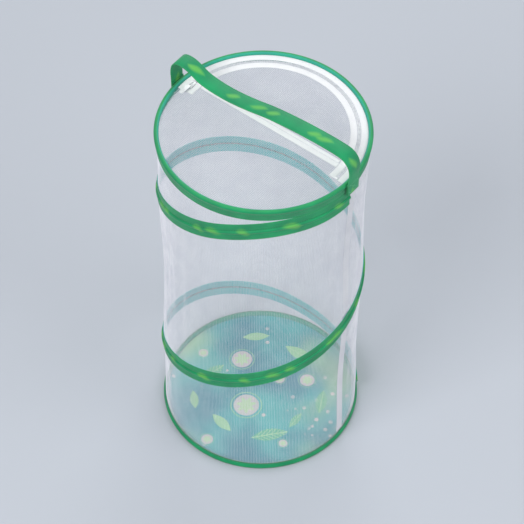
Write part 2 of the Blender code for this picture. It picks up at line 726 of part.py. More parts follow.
def build_anchors():
    """A doubled patch of webbing on the rim at each end of the handle."""
    near = CAGE_DIAMETER / 2 + GAP
    half = HANDLE_WIDTH / 2
    turn = Matrix((HANDLE_LINE, FLAP_SIDE, Vector((0, 0, 1)))).transposed().to_4x4()
    for name, side in (("handle_anchor_right", 1), ("handle_anchor_left", -1)):
        ends = sorted((side * near, side * (near + ANCHOR_THICKNESS)))
        bm = bmesh.new()
        block(bm, (ends[0], -half, CAGE_HEIGHT - TOP_BINDING_OUTER_HEIGHT), (ends[1], half, CAGE_HEIGHT))
        bmesh.ops.transform(bm, matrix=turn, verts=bm.verts)
        add_object(name, bm, GREEN_WEBBING, smooth=False)


# Handle's side view: (share of the way out from the middle, share of the rise), left end first
HANDLE_SHAPE_SHARES = (
    (1.000, -0.06), (1.002, 0.20), (1.006, 0.50), (0.985, 0.78), (0.925, 0.92), (0.82, 0.90),
    (0.65, 0.66), (0.42, 0.60), (0.18, 0.68), (-0.08, 0.85), (-0.34, 0.95), (-0.60, 1.00),
    (-0.80, 1.00), (-0.92, 0.95), (-0.985, 0.76), (-1.006, 0.50), (-1.002, 0.20), (-1.000, -0.06),
)


def smooth_points(points, count):
    """Even steps along a smooth curve through the given points."""
    fine = []
    padded = [points[0]] + list(points) + [points[-1]]
    for p0, p1, p2, p3 in zip(padded, padded[1:], padded[2:], padded[3:]):
        for step in range(CURVE_STEPS):
            t = step / CURVE_STEPS
            fine.append(
                0.5 * ((2 * p1) + (p2 - p0) * t + (2 * p0 - 5 * p1 + 4 * p2 - p3) * t ** 2
                       + (3 * p1 - p0 - 3 * p2 + p3) * t ** 3)
            )
    fine.append(points[-1])
    lengths = [0]
    for a, b in zip(fine, fine[1:]):
        lengths.append(lengths[-1] + (b - a).length)
    result = []
    spot = 0
    for i in range(count + 1):
        want = lengths[-1] * i / count
        while spot < len(fine) - 2 and lengths[spot + 1] < want:
            spot += 1
        share = (want - lengths[spot]) / (lengths[spot + 1] - lengths[spot])
        result.append(fine[spot].lerp(fine[spot + 1], share))
    return result


def build_handle():
    reach = CAGE_DIAMETER / 2 + 2 * GAP + ANCHOR_THICKNESS + HANDLE_THICKNESS / 2
    pivot_z = CAGE_HEIGHT - HANDLE_PIVOT_DEPTH
    half_thick = HANDLE_THICKNESS / 2
    half_width = HANDLE_WIDTH / 2
    shape = [Vector((-out * reach, CAGE_HEIGHT + up * HANDLE_RISE)) for out, up in HANDLE_SHAPE_SHARES]
    middle = smooth_points(shape, HANDLE_STEPS)
    sections = []
    for i in range(HANDLE_END_STEPS):
        turn = math.pi / 2 * (i + 0.5) / HANDLE_END_STEPS
        sections.append((-reach, pivot_z - half_width * math.cos(turn), half_width * math.sin(turn)))
    sections.append((-reach, pivot_z, half_width))
    rings = []
    for along, z, width in sections:
        rings.append((Vector((along, z)), Vector((1, 0)), width))
    for i, point in enumerate(middle):
        before = middle[max(i - 1, 0)]
        after = middle[min(i + 1, len(middle) - 1)]
        ahead = (after - before).normalized()
        if i in (0, len(middle) - 1):
            ahead = Vector((0, 1 if i == 0 else -1))
        rings.append((point, Vector((ahead.y, -ahead.x)), half_width))
    for along, z, width in reversed(sections):
        rings.append((Vector((-along, z)), Vector((-1, 0)), width))

    def place(point, across):
        spot = HANDLE_LINE * point.x + FLAP_SIDE * across
        return Vector((spot.x, spot.y, point.y))

    loops = []
    for point, out, width in rings:
        near = point + out * half_thick
        far = point - out * half_thick
        loops.append([place(near, -width), place(near, width), place(far, width), place(far, -width)])
    bm = bmesh.new()
    loft(bm, loops)
    add_object("handle_strap", bm, GREEN_WEBBING, origin=Vector((0, 0, pivot_z)))


def main():
    clear_scene()
    build_floor()
    build_hoop("bottom", BOTTOM_WIRE_Z, math.pi)
    build_hoop("top", TOP_WIRE_Z, math.pi)
    build_bindings()
    heights = build_wall()
    build_seam(heights)
    build_spiral()
    build_top_panels()
    build_zip()
    build_slider()
    build_pull()
    build_anchors()
    build_handle()
    print("spiral pitch", round(SPIRAL_PITCH, 4), "m")


main()
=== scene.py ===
# Pop-up insect cage: cloth, net, zip and webbing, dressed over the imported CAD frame.
# Metres, +Z up, front at -Y. Angles count from the front towards the right.
from math import asin, atan2, ceil, cos, exp, hypot, pi, prod, sin, sqrt

import bmesh
import bpy
from mathutils import Matrix, Vector
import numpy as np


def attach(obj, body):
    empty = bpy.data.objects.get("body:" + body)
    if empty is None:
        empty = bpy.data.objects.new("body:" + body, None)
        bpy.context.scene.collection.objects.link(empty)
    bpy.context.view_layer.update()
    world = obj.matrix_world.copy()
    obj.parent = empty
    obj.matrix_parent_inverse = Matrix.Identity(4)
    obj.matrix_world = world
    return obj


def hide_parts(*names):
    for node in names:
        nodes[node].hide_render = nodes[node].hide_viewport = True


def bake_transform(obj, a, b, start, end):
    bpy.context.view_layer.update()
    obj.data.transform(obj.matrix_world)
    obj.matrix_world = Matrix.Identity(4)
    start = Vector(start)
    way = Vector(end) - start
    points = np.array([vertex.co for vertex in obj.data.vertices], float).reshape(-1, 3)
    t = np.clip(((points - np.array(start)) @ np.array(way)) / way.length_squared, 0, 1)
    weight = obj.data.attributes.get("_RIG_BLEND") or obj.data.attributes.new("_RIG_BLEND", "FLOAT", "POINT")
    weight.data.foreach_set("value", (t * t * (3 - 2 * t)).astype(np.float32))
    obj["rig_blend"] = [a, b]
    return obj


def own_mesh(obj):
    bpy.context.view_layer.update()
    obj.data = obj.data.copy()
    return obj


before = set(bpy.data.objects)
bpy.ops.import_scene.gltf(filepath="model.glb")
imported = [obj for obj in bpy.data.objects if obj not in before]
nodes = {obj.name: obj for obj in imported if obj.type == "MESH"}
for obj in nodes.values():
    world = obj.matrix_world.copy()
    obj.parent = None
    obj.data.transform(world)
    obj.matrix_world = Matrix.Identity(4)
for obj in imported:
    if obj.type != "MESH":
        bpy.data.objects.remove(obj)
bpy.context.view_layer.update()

up = Vector((0, 0, 1))
fullTurn = 2 * pi
degree = pi / 180


def polar(angle, radius, z):
    return Vector((radius * sin(angle), -radius * cos(angle), z))


# sizes that several pieces share, as the CAD has them: radii of hoop and panel, thickness of net and tape
cage = {
    "height": 0.61, "travel": 0.56, "hoop": 0.1489419, "panel": 0.1447725, "net": 0.0006, "tape": 0.0008,
    "gap": 0.0003, "foldOffset": 0.016, "handleAngle": 52.5 * degree, "seamAngle": 56.25 * degree,
}
# heights of the binding edges that the wall stays between, and of its own edges inside them
wallEnds = {"bottom": 0.006, "bottomBinding": 0.01, "topBinding": 0.59, "top": 0.604}
handleLine = polar(cage["handleAngle"], 1, 0)
flapSide = polar(cage["handleAngle"] + pi / 2, 1, 0)

# length, width and height of the stitches, and their spacing along a row
stitches = {
    "tape": {"size": (0.0026, 0.0007, 0.0006), "spacing": 0.0036},
    "seam": {"size": (0.0026, 0.0006, 0.0005), "spacing": 0.0036},
    "fold": {"size": (0.0025, 0.0006, 0.0005), "spacing": 0.0034},
    "zip": {"size": (0.0024, 0.0006, 0.0005), "spacing": 0.0032},
    "webbing": {"size": (0.0024, 0.0007, 0.0006), "spacing": 0.0027},
}
joinReach = 0.000001  # nearer points become one


# small tools for meshes
def startMesh():
    bm = bmesh.new()
    bm.verts.layers.float.new("along")
    bm.verts.layers.float.new("across")
    return bm


def partsOf(bm):
    return bm.verts[:] + bm.edges[:] + bm.faces[:]


def vertsIn(parts):
    return [part for part in parts if isinstance(part, bmesh.types.BMVert)]


def evenly(steps):  # shares from 0 to 1
    return [i / steps for i in range(steps + 1)]


def roundSection(radius, sides):
    turns = [fullTurn * share for share in evenly(sides)[:-1]]
    return [(radius * cos(turn), radius * sin(turn)) for turn in turns]


def roundedStrip(width, thickness, lift=0.0, steps=3):  # a flat tape with rounded edges, from lift outwards
    half, radius = width / 2, thickness / 2
    turns = [(side, pi * share) for side in (1, -1) for share in evenly(steps)]
    return [(lift + radius + side * radius * cos(turn), side * (half - radius + radius * sin(turn)))
            for side, turn in turns]


def frameAt(spot, out, side):  # a place whose X points out of the cloth and whose Z runs across it
    along = side.cross(out).normalized()
    return Matrix.Translation(spot) @ Matrix((out, along, side)).transposed().to_4x4()


# draws a line of (out, side) points in a place's X and Z, and keeps the side as the distance across the cloth
def drawSection(bm, outline, place, closed=True):
    across = bm.verts.layers.float["across"]
    verts = [bm.verts.new(place @ Vector((out, 0, side))) for out, side in outline]
    for vert, (out, side) in zip(verts, outline):
        vert[across] = side
    following = verts[1:] + verts[:1] if closed else verts[1:]
    return verts, [bm.edges.new(pair) for pair in zip(verts, following)]


def closeEnds(bm):
    rim = [edge for edge in bm.edges if edge.is_boundary]
    if rim:
        bmesh.ops.holes_fill(bm, edges=rim, sides=0)


def sweep(bm, outline, places):  # extrudes a section from place to place and closes both ends
    along = bm.verts.layers.float["along"]
    verts, edges = drawSection(bm, outline, places[0])
    run = 0.0
    for before, after in zip(places, places[1:]):
        made = bmesh.ops.extrude_edge_only(bm, edges=edges)["geom"]
        verts = vertsIn(made)
        new = set(verts)
        edges = [part for part in made if isinstance(part, bmesh.types.BMEdge) and new.issuperset(part.verts)]
        bmesh.ops.transform(bm, matrix=after @ before.inverted(), verts=verts)
        run += (after.translation - before.translation).length
        for vert in verts:
            vert[along] = run
    closeEnds(bm)


# turns a (radius, height) outline about the cage's axis, right round when end is None
def spinRing(bm, outline, steps, start=0.0, end=None, closed=True):
    place = Matrix.Rotation(start - pi / 2, 4, "Z")
    verts, edges = drawSection(bm, outline, place, closed)
    turn = fullTurn if end is None else end - start
    bmesh.ops.spin(
        bm, geom=verts + edges, cent=(0, 0, 0), axis=(0, 0, 1), dvec=(0, 0, 0), angle=turn,
        steps=steps, use_merge=end is None, use_normal_flip=False, use_duplicate=False,
    )
    if end is not None:
        closeEnds(bm)


# UVs in metres along and across the cloth; a ring's length counts at ringRadius, a flat one's width outwards
def layCloth(bm, ringRadius=0.0, level=0.0, flat=False):
    uv = bm.loops.layers.uv.new("cloth")
    along, across = bm.verts.layers.float["along"], bm.verts.layers.float["across"]
    for face in bm.faces:
        middle = face.calc_center_median()
        facing = atan2(middle.y, middle.x)
        for loop in face.loops:
            spot = loop.vert
            run = spot[along]
            if ringRadius:
                turn = atan2(spot.co.y, spot.co.x) - facing
                run = (facing + (turn + pi) % fullTurn - pi) * ringRadius
            width = hypot(spot.co.x, spot.co.y) if flat else spot[across]
            loop[uv].uv = (run, width - level)


def addObject(name, data):
    made = bpy.data.objects.new(name, data)
    bpy.context.scene.collection.objects.link(made)
    return made


def makePiece(bm, name, finish, body, sharp=35, replaced=()):
    bmesh.ops.remove_doubles(bm, verts=bm.verts, dist=joinReach)
    bmesh.ops.recalc_face_normals(bm, faces=bm.faces)
    mesh = bpy.data.meshes.new(name)
    bm.to_mesh(mesh)
    bm.free()
    mesh.shade_smooth()
    mesh.set_sharp_from_angle(angle=sharp * degree)
    mesh.materials.append(finish)
    piece = addObject(name, mesh)
    if body:
        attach(piece, body)
    if replaced:
        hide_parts(*replaced)
    return piece


def sweepPiece(name, outline, places, finish, body, replaced=()):
    bm = startMesh()
    sweep(bm, outline, places)
    layCloth(bm)
    return makePiece(bm, name, finish, body, replaced=replaced)


def foldsWithWall(piece):  # gives the piece a mesh of its own
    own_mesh(piece)


def sew(bm, places, size):  # stitches with their length along Y, width across Z and height out along X
    length, width, height = size
    shape = Matrix.Diagonal((height / 2, length / 2, width / 2, 1))
    batchSize = 50  # small batches are quicker
    for first in range(0, len(places), batchSize):
        batch = bmesh.new()
        for place in places[first:first + batchSize]:
            bmesh.ops.create_icosphere(batch, subdivisions=1, radius=1, matrix=place @ shape)
        mesh = bpy.data.meshes.new("batch")
        batch.to_mesh(mesh)
        batch.free()
        bm.from_mesh(mesh)
        bpy.data.meshes.remove(mesh)


def sewPiece(name, places, kind, thread, body):
    bm = startMesh()
    sew(bm, places, stitches[kind]["size"])
    return makePiece(bm, name, thread, body)


def sharesOfRow(kind, length, least=1):  # where the stitches of a row sit, as shares of its length
    count = max(least, int(length / stitches[kind]["spacing"]))
    return [(i + 0.5) / count for i in range(count)]


# stitches round the cage, on a wall that faces outwards (1) or inwards (-1), or flat on top (None)
def roundRow(kind, radius, z, start=0.0, end=fullTurn, facing=None):
    places = []
    for share in sharesOfRow(kind, (end - start) * radius):
        angle = start + (end - start) * share
        out, side = (polar(angle, facing, 0), up) if facing else (up, polar(angle, 1, 0))
        places.append(frameAt(polar(angle, radius, z), out, side))
    return places


def repeat(bm, geom, factors, step):  # copies parts into a row of factors' product, each a step on
    rowLength = 1
    for factor in factors:
        row = list(geom)
        for i in range(1, factor):
            copied = bmesh.ops.duplicate(bm, geom=geom)["geom"]
            bmesh.ops.transform(bm, matrix=step(rowLength * i), verts=vertsIn(copied))
            row += copied
        geom = row
        rowLength *= factor
    return geom


# small tools for materials; most find the node tree from a socket they are given
def isSocket(value):
    return isinstance(value, bpy.types.NodeSocket)


def plug(socket, value):
    if isSocket(value):
        value.id_data.links.new(value, socket)
    else:
        socket.default_value = value


def addNode(tree, kind, inputs=None, **settings):  # settings are the node's own choices
    made = tree.nodes.new("ShaderNode" + kind)
    for name, value in settings.items():
        setattr(made, name, value)
    for name, value in (inputs or {}).items():
        plug(made.inputs[name], value)
    return made


def maths(operation, *values):
    tree = next(value for value in values if isSocket(value)).id_data
    return addNode(tree, "Math", dict(enumerate(values)), operation=operation).outputs[0]


def times(first, second):
    return maths("MULTIPLY", first, second)


def minus(first, second):
    return maths("SUBTRACT", first, second)


def scaled(value, factor, base):
    return maths("MULTIPLY_ADD", value, factor, base)


def distance(first, second):
    return maths("ABSOLUTE", minus(first, second))


def mixColour(share, first, second):
    first, second = (value if isSocket(value) else (*value, 1) for value in (first, second))
    return addNode(share.id_data, "Mix", {0: share, 6: first, 7: second}, data_type="RGBA").outputs[2]


def tint(colour, share, most, towards):  # at most this much of another colour, where share is 1
    return mixColour(times(share, most), colour, towards)


def fade(value, start, end):  # 0 up to start and 1 from end on, whichever is the higher
    inputs = {"Value": value, "From Min": start, "From Max": end}
    return addNode(value.id_data, "MapRange", inputs, interpolation_type="SMOOTHSTEP").outputs[0]


def noise(where, scale, detail=2.0):
    inputs = {"Vector": where, "Scale": scale, "Detail": detail, "Roughness": 0.5}
    return addNode(where.id_data, "TexNoise", inputs).outputs["Fac"]


def objectSpot(tree):
    return addNode(tree, "TexCoord").outputs["Object"]


def partsOfSpot(spot):
    return addNode(spot.id_data, "SeparateXYZ", {0: spot}).outputs[:2]


def clothSpot(tree):  # the UV map in metres, and its two numbers: along and across the cloth
    spot = addNode(tree, "UVMap", uv_map="cloth").outputs[0]
    return spot, *partsOfSpot(spot)


def ribs(run, spacing):  # a row of round ribs, 0 in the grooves and 1 on the crests
    wave = maths("SINE", times(run, fullTurn / spacing))
    return scaled(wave, 0.5, 0.5)


def woven(main, crossing, share):
    return scaled(crossing, share, times(main, 1 - share))


def leafBlade(reach, side):  # above 0 inside a leaf that is pointed at reach -1 and 1
    return minus(minus(1.0, times(reach, reach)), side)


def relief(height, depth, before=None):  # bump from a 0 to 1 height, depth in metres
    inputs = {"Height": height, "Distance": depth, "Strength": 1.0}
    if before:
        inputs["Normal"] = before
    return addNode(height.id_data, "Bump", inputs).outputs[0]


def vectorMaths(operation, first, second=(0, 0, 0)):
    return addNode(first.id_data, "VectorMath", {0: first, 1: second}, operation=operation).outputs


def newFinish(name):
    finish = bpy.data.materials.new(name)
    finish.use_nodes = True
    return finish, finish.node_tree


def plugSurface(finish, colour, roughness, normal=None, specular=0.5, sheen=0.0, metallic=0.0, coat=0.0):
    sockets = finish.node_tree.nodes["Principled BSDF"].inputs
    values = {"Base Color": colour, "Roughness": roughness, "Specular IOR Level": specular,
              "Sheen Weight": sheen, "Metallic": metallic, "Coat Weight": coat}
    for name, value in values.items():
        plug(sockets[name], value)
    if normal:
        plug(sockets["Normal"], normal)
    return finish


# green polyester tape: fine ribs with painted shade in their grooves, soft lighter leaves, cloth drawn in
# beside each stitch row with painted shade along it, and a painted highlight on its edges
greenTape = {
    # the leaf green also paints a highlight along the tape's edges
    "colour": (0.003, 0.345, 0.118), "shade": (0.001, 0.245, 0.092), "leafAndHighlight": (0.13, 0.50, 0.09),
    # the teal is the inside's colour: partly a paler back, partly painted light from the net in front
    "back": (0.08, 0.66, 0.72), "cloudScale": 28.0, "ribSpacing": 0.0011, "ribDepth": 0.0001,
    "pullSpacing": 0.0034, "pullReach": 0.003, "pullDepth": -0.0003, "lineReach": 0.0016,
    # spacing along the tape, half length and shift of two rows of leaves, and their most colour
    "leaves": ((0.071, 0.013, 0.2), (0.113, 0.017, 0.65)), "leafShare": 0.85,
    # curve and half width of a leaf, and where the painted highlight on the edge starts and ends, as shares of
    # the tape's width
    "leafCurve": 0.10, "leafWidth": 0.30, "edge": (0.44, 0.5),
}


def reverseSide(tree):  # 1 on cloth that faces the middle of the cage, 0 on cloth that faces out
    normal = addNode(tree, "NewGeometry").outputs["Normal"]
    flat = vectorMaths("MULTIPLY", objectSpot(tree), (1, 1, 0))[0]
    facing = vectorMaths("DOT_PRODUCT", normal, vectorMaths("NORMALIZE", flat)[0])["Value"]
    return fade(facing, -0.1, -0.4)


def softLeaf(along, across, width, spacing, size, shift):
    cell = maths("FRACT", scaled(along, 1 / spacing, shift))
    reach = times(minus(cell, 0.5), spacing / size)
    curve = times(maths("SINE", times(reach, 2.2)), width * greenTape["leafCurve"])
    offCurve = maths("DIVIDE", minus(across, curve), width * greenTape["leafWidth"])
    blade = leafBlade(reach, maths("ABSOLUTE", offCurve))
    return fade(blade, 0.0, 0.9)


# stitchLines are counted from the tape's middle; the last argument is how much pale teal its inside shows:
# partly a paler back, partly painted light from the net in front
def makeGreenTape(name, width, ribSpacing=greenTape["ribSpacing"], motifs=True, stitchLines=(), backAndNetLight=0.0):
    finish, tree = newFinish(name)
    shade = greenTape["shade"]
    spot, along, across = clothSpot(tree)
    cloud = noise(spot, greenTape["cloudScale"], 3.0)
    colour = mixColour(fade(cloud, 0.30, 0.72), shade, greenTape["colour"])
    for facts in greenTape["leaves"] if motifs else ():
        leaf = softLeaf(along, across, width, *facts)
        colour = tint(colour, leaf, greenTape["leafShare"], greenTape["leafAndHighlight"])
    weave = woven(ribs(along, ribSpacing), ribs(across, ribSpacing * 0.55), 0.35)
    # painted shade: the weave's grooves are darkened towards the darker green
    colour = tint(colour, fade(weave, 0.45, 0.05), 0.3, shade)
    bump = relief(weave, greenTape["ribDepth"])
    for line in stitchLines:
        away = distance(across, line)
        beats = scaled(ribs(along, greenTape["pullSpacing"]), 0.5, 0.5)
        pull = times(fade(away, greenTape["pullReach"], 0.0), beats)
        bump = relief(pull, greenTape["pullDepth"], bump)
        # painted shade along the stitch line, where the cloth is drawn in
        colour = tint(colour, fade(away, greenTape["lineReach"], 0.0), 0.3, shade)
    # a painted highlight along the tape's edges, in the leaf green
    inner, outer = greenTape["edge"]
    edge = fade(maths("ABSOLUTE", across), width * inner, width * outer)
    colour = tint(colour, edge, 0.12, greenTape["leafAndHighlight"])
    # the inside is painted pale teal: partly a paler back, partly painted light that the net in front scatters
    # over it
    if backAndNetLight:
        colour = tint(colour, reverseSide(tree), backAndNetLight, greenTape["back"])
    return plugSurface(finish, colour, scaled(cloud, 0.25, 0.45), bump, specular=0.35, sheen=0.15)


# white zip tape: a twill that leans both ways in turn, with painted shade in its grooves and a little dust
whiteTape = {
    "colour": (0.86, 0.87, 0.88), "shade": (0.66, 0.68, 0.72), "twill": 0.0009, "depth": 0.00008,
    "turnEvery": 0.0025, "dustScale": 60,
}


def makeWhiteTape(name):
    finish, tree = newFinish(name)
    spot, along, across = clothSpot(tree)
    slant, twill = maths("PINGPONG", across, whiteTape["turnEvery"]), whiteTape["twill"]
    slanting = ribs(maths("ADD", along, slant), twill)
    weave = woven(slanting, ribs(across, twill * 0.8), 0.3)
    dust = fade(noise(spot, whiteTape["dustScale"], 3.0), 0.35, 0.75)
    # painted shade in the twill's grooves, with dust in soft patches
    grooveShadeAndDust = scaled(fade(weave, 0.5, 0.0), 0.4, times(dust, 0.15))
    colour = mixColour(grooveShadeAndDust, whiteTape["colour"], whiteTape["shade"])
    bump = relief(weave, whiteTape["depth"])
    return plugSurface(finish, colour, scaled(dust, 0.15, 0.62), bump, specular=0.3, sheen=0.2)


# Two colours mixed by soft patches over a fine grain. Patches: a noise's scale, detail and where it fades in.
# Rough: what the patches add to the roughness, and its base. Grain: a noise's scale, detail and depth.
def makeGrained(name, first, second, patches, rough, grain, **settings):
    finish, tree = newFinish(name)
    spot = objectSpot(tree)
    patch = fade(noise(spot, *patches[:2]), *patches[2:])
    bump = relief(noise(spot, *grain[:2]), grain[2])
    return plugSurface(finish, mixColour(patch, first, second), scaled(patch, *rough), bump, **settings)


def makeThread(name, colour, shade, roughness=0.5):
    return makeGrained(
        name, shade, colour, patches=(35, 2, 0.3, 0.7), rough=(-0.1, roughness), grain=(2600, 1, 0.00005),
        sheen=0.1, specular=0.45)


def makeLacquer():  # white, with scratches down to the zinc, a little grime and a soft orange peel
    finish, tree = newFinish("whiteLacquer")
    spot = objectSpot(tree)
    stretch = {"Vector": spot, "Rotation": (0, 0, 0.7), "Scale": (1.0, 6.0, 1.0)}
    stretched = addNode(tree, "Mapping", stretch).outputs[0]
    scratch = fade(noise(stretched, 420.0, 3.0), 0.70, 0.76)
    grime = fade(noise(spot, 260.0, 3.0), 0.5, 0.8)
    colour = mixColour(times(grime, 0.35), (0.84, 0.85, 0.87), (0.62, 0.64, 0.68))
    colour = mixColour(scratch, colour, (0.42, 0.42, 0.44))
    bump = relief(noise(spot, 700.0, 1.0), 0.00002)
    return plugSurface(finish, colour, scaled(grime, 0.25, 0.25), bump, coat=0.3)


steel = makeGrained(
    "springSteel", (0.5, 0.5, 0.51), (0.33, 0.31, 0.29), patches=(90, 4, 0.45, 0.75), rough=(0.25, 0.26),
    grain=(1500, 2, 0.00002), metallic=1.0)
nylon = makeGrained(
    "whiteNylon", (0.86, 0.87, 0.88), (0.72, 0.73, 0.75), patches=(180, 2, 0.4, 0.7), rough=(0.2, 0.3),
    grain=(900, 1, 0.00002))
whiteThread = makeThread("whiteThread", (0.86, 0.87, 0.89), (0.76, 0.77, 0.80), 0.55)
netThread = makeThread("netThread", (0.84, 0.84, 0.88), (0.74, 0.74, 0.80))
greenThread = makeThread("greenThread", (0.02, 0.42, 0.17), (0.01, 0.30, 0.12))
paleThread = makeThread("paleGreenThread", (0.16, 0.60, 0.30), (0.08, 0.46, 0.20))
zipTape = makeWhiteTape("zipTape")
lacquer = makeLacquer()
print("finishes made")


# the wall: the spiral holds it out, and between the turns it draws in
spiral = {
    "start": 52.5 * degree, "turn": 682.5 * degree, "level": 30 * degree, "ease": 45 * degree,
    "top": 0.5737, "bottom": 0.0263, "step": 3.75 * degree, "wireRadius": 0.001, "wireSides": 8,
}
wall = {
    "waist": 0.005, "threadRadius": 0.00015, "ringSteps": 96, "ringFactors": (3, 5, 2, 2, 2, 2),
    "uprightSteps": 24, "uprightFactors": (3, 2, 2, 2, 2, 2, 2, 2), "pucker": 0.0016, "seamReach": 0.16,
    "endReach": 0.03,  # how far past its ends, in radians, the spiral still holds the net
}
spiralFall = spiral["turn"] - 2 * spiral["level"]
spiralSlope = (spiral["top"] - spiral["bottom"]) / (spiralFall - spiral["ease"])
spiralPitch = spiralSlope * fullTurn


def spiralHeight(turned):  # level beside each binding, then it eases into an even fall
    ease, fallen = spiral["ease"], min(max(turned - spiral["level"], 0), spiralFall)
    left = spiralFall - fallen
    if fallen < ease:
        run = fallen ** 2 / (2 * ease)
    elif left < ease:
        run = spiralFall - ease - left ** 2 / (2 * ease)
    else:
        run = fallen - ease / 2
    return spiral["top"] - spiralSlope * run


holds = {}  # heights at which the net is held out, for each angle


def wallRadius(angle, z):  # middle of the net
    key = round(angle % fullTurn, 5)
    if key not in holds:
        heights = [wallEnds["bottomBinding"], wallEnds["topBinding"]]
        turn = (spiral["start"] - key) % fullTurn
        while turn <= spiral["turn"] + wall["endReach"]:
            heights.append(spiralHeight(min(turn, spiral["turn"])))
            turn += fullTurn
        holds[key] = sorted(heights)
    for low, high in zip(holds[key], holds[key][1:]):
        if low < z < high:
            span = high - low
            share = (1 - cos(fullTurn * (z - low) / span)) / 2
            return cage["hoop"] - wall["waist"] * share * min(1, span / spiralPitch) ** 2
    return cage["hoop"]


def pucker(angle, z, drawn):  # soft upright folds where the net hangs free
    fromSeam = (angle - cage["seamAngle"] + pi) % fullTurn - pi
    free = min(1.0, drawn / wall["waist"]) * (1 - exp(-(fromSeam / wall["seamReach"]) ** 2))
    fine = sin(angle * 31 + 2.3 * sin(z * 11 + angle * 2))
    return wall["pucker"] * free * fine * sin(angle * 7 + z * 5)


def drawIn(bm):  # from a plain cylinder to the wall's real shape
    for vert in bm.verts:
        angle = atan2(vert.co.x, -vert.co.y)
        radius = hypot(vert.co.x, vert.co.y)
        drawn = cage["hoop"] - wallRadius(angle, vert.co.z)
        shaped = radius - drawn + pucker(angle, vert.co.z, drawn)
        vert.co.x *= shaped / radius
        vert.co.y *= shaped / radius


def threadCloth(length, radius):  # the cloth that a length of thread counts for: half its surface
    return length * 3 * sqrt(3) * radius / 2


def makeWallNet():
    radius, hoop = wall["threadRadius"], cage["hoop"]
    low, tall = wallEnds["bottom"], wallEnds["top"] - wallEnds["bottom"]
    ringCount, uprightCount = prod(wall["ringFactors"]), prod(wall["uprightFactors"])
    thread = roundSection(radius, 3)
    bm = startMesh()
    spinRing(bm, [(hoop + out, low + side) for out, side in thread], wall["ringSteps"])
    apart = tall / (ringCount - 1)
    rings = set(repeat(bm, partsOf(bm), wall["ringFactors"], lambda i: Matrix.Translation((0, 0, apart * i))))
    spots = [Vector((0, -hoop, low + tall * share)) for share in evenly(wall["uprightSteps"])]
    sweep(bm, thread, [frameAt(spot, Vector((0, -1, 0)), Vector((1, 0, 0))) for spot in spots])
    upright = [part for part in partsOf(bm) if part not in rings]
    turn = fullTurn / uprightCount
    repeat(bm, upright, wall["uprightFactors"], lambda i: Matrix.Rotation(turn * i, 4, "Z"))
    drawIn(bm)
    net = makePiece(bm, "wallNet", netThread, "base", replaced=["wall_mesh"])
    foldsWithWall(net)
    girth = fullTurn * hoop
    threads = threadCloth(ringCount * girth + uprightCount * tall, radius)
    print("wall net:", len(net.data.polygons), "faces")


makeWallNet()


# the flat top's two nets: the fixed half and the flap
topNet = {
    "z": 0.6056, "spacing": 0.0025, "radius": 0.00021, "cuts": 9, "cutsOver": 0.29, "step": 0.001,
    "flapRadius": 0.1267725, "rimRoom": 0.0004, "foldRoom": 0.0006, "sag": 0.0022,
}


def insideFixed(along, out):  # out counts from the cage's middle towards the flap
    rim = cage["panel"] - topNet["rimRoom"]
    return out <= cage["foldOffset"] - topNet["foldRoom"] and hypot(along, out) < rim


def insideFlap(along, out):
    return out > cage["foldOffset"] + topNet["foldRoom"] and hypot(along, out) < topNet["flapRadius"]


def addThread(bm, fixed, middle, length, crossing):
    direction, across = (flapSide, handleLine) if crossing else (handleLine, flapSide)
    centre = direction * middle + across * fixed + up * topNet["z"]
    turn = Matrix((up, -across if crossing else across, direction)).transposed().to_4x4()
    made = set(bmesh.ops.create_cone(
        bm, cap_ends=True, segments=3, radius1=topNet["radius"], radius2=topNet["radius"],
        depth=length, matrix=Matrix.Translation(centre) @ turn,
    )["verts"])
    newest = bm.edges[-12:]
    lengthways = [edge for edge in newest if edge.verts[0] in made and edge.calc_length() > length * 0.9]
    cuts = max(1, round(topNet["cuts"] * length / topNet["cutsOver"]))
    bmesh.ops.subdivide_edges(bm, edges=lengthways, cuts=cuts)


def netThreads(bm, inside):  # threads both ways across the top, each cut to the run that lies inside
    spacing, reach, step = topNet["spacing"], cage["panel"], topNet["step"]
    count = int(reach / spacing)
    spots = [-reach + step * k for k in range(int(2 * reach / step) + 1)]
    total = 0.0
    for crossing in (False, True):
        for i in range(-count, count + 1):
            fixed = i * spacing
            held = [spot for spot in spots if (inside(fixed, spot) if crossing else inside(spot, fixed))]
            length = held[-1] - held[0] if held else 0.0
            if held and held[-1] == spots[-1]:  # on to the rim
                length = reach - held[0]
            if length > 2 * spacing:
                addThread(bm, fixed, held[0] + length / 2, length, crossing)
                total += length
    return total


def makeTopNet(name, inside, body, node, sagMiddle, sagReach):
    bm = startMesh()
    threads = threadCloth(netThreads(bm, inside), topNet["radius"])
    centre = (flapSide * sagMiddle).xy
    for vert in bm.verts:
        away = (vert.co.xy - centre).length / sagReach
        vert.co.z -= topNet["sag"] * max(0.0, 1 - away * away) ** 1.5
    net = makePiece(bm, name, netThread, body, replaced=[node])
    print(name, len(net.data.polygons), "faces")


makeTopNet("topNet", insideFixed, "top", "top_panel", -0.05, 0.10)
makeTopNet("flapNet", insideFlap, "flap", "flap_panel",
           0.07, 0.055)


# bindings: green tape folded over the two hoops
binding = {
    "facets": 14, "opening": 30 * degree, "steps": 160, "foldInner": 0.0027209, "foldOuter": 0.0035581,
    "turnedEdge": 0.0003, "backAndNetLight": 0.25,
    # height of the hoop's wire, which way the tape's legs run, their depths, the edge and the stitch rows
    "top": {
        "wire": 0.6066, "up": -1, "outer": 0.02, "inner": 0.012, "edge": cage["height"],
        "rows": (0.6005, 0.5925),
    },
    "bottom": {"wire": 0.0034, "up": 1, "outer": 0.01, "inner": 0.01, "edge": 0.0, "rows": (0.0085,)},
}


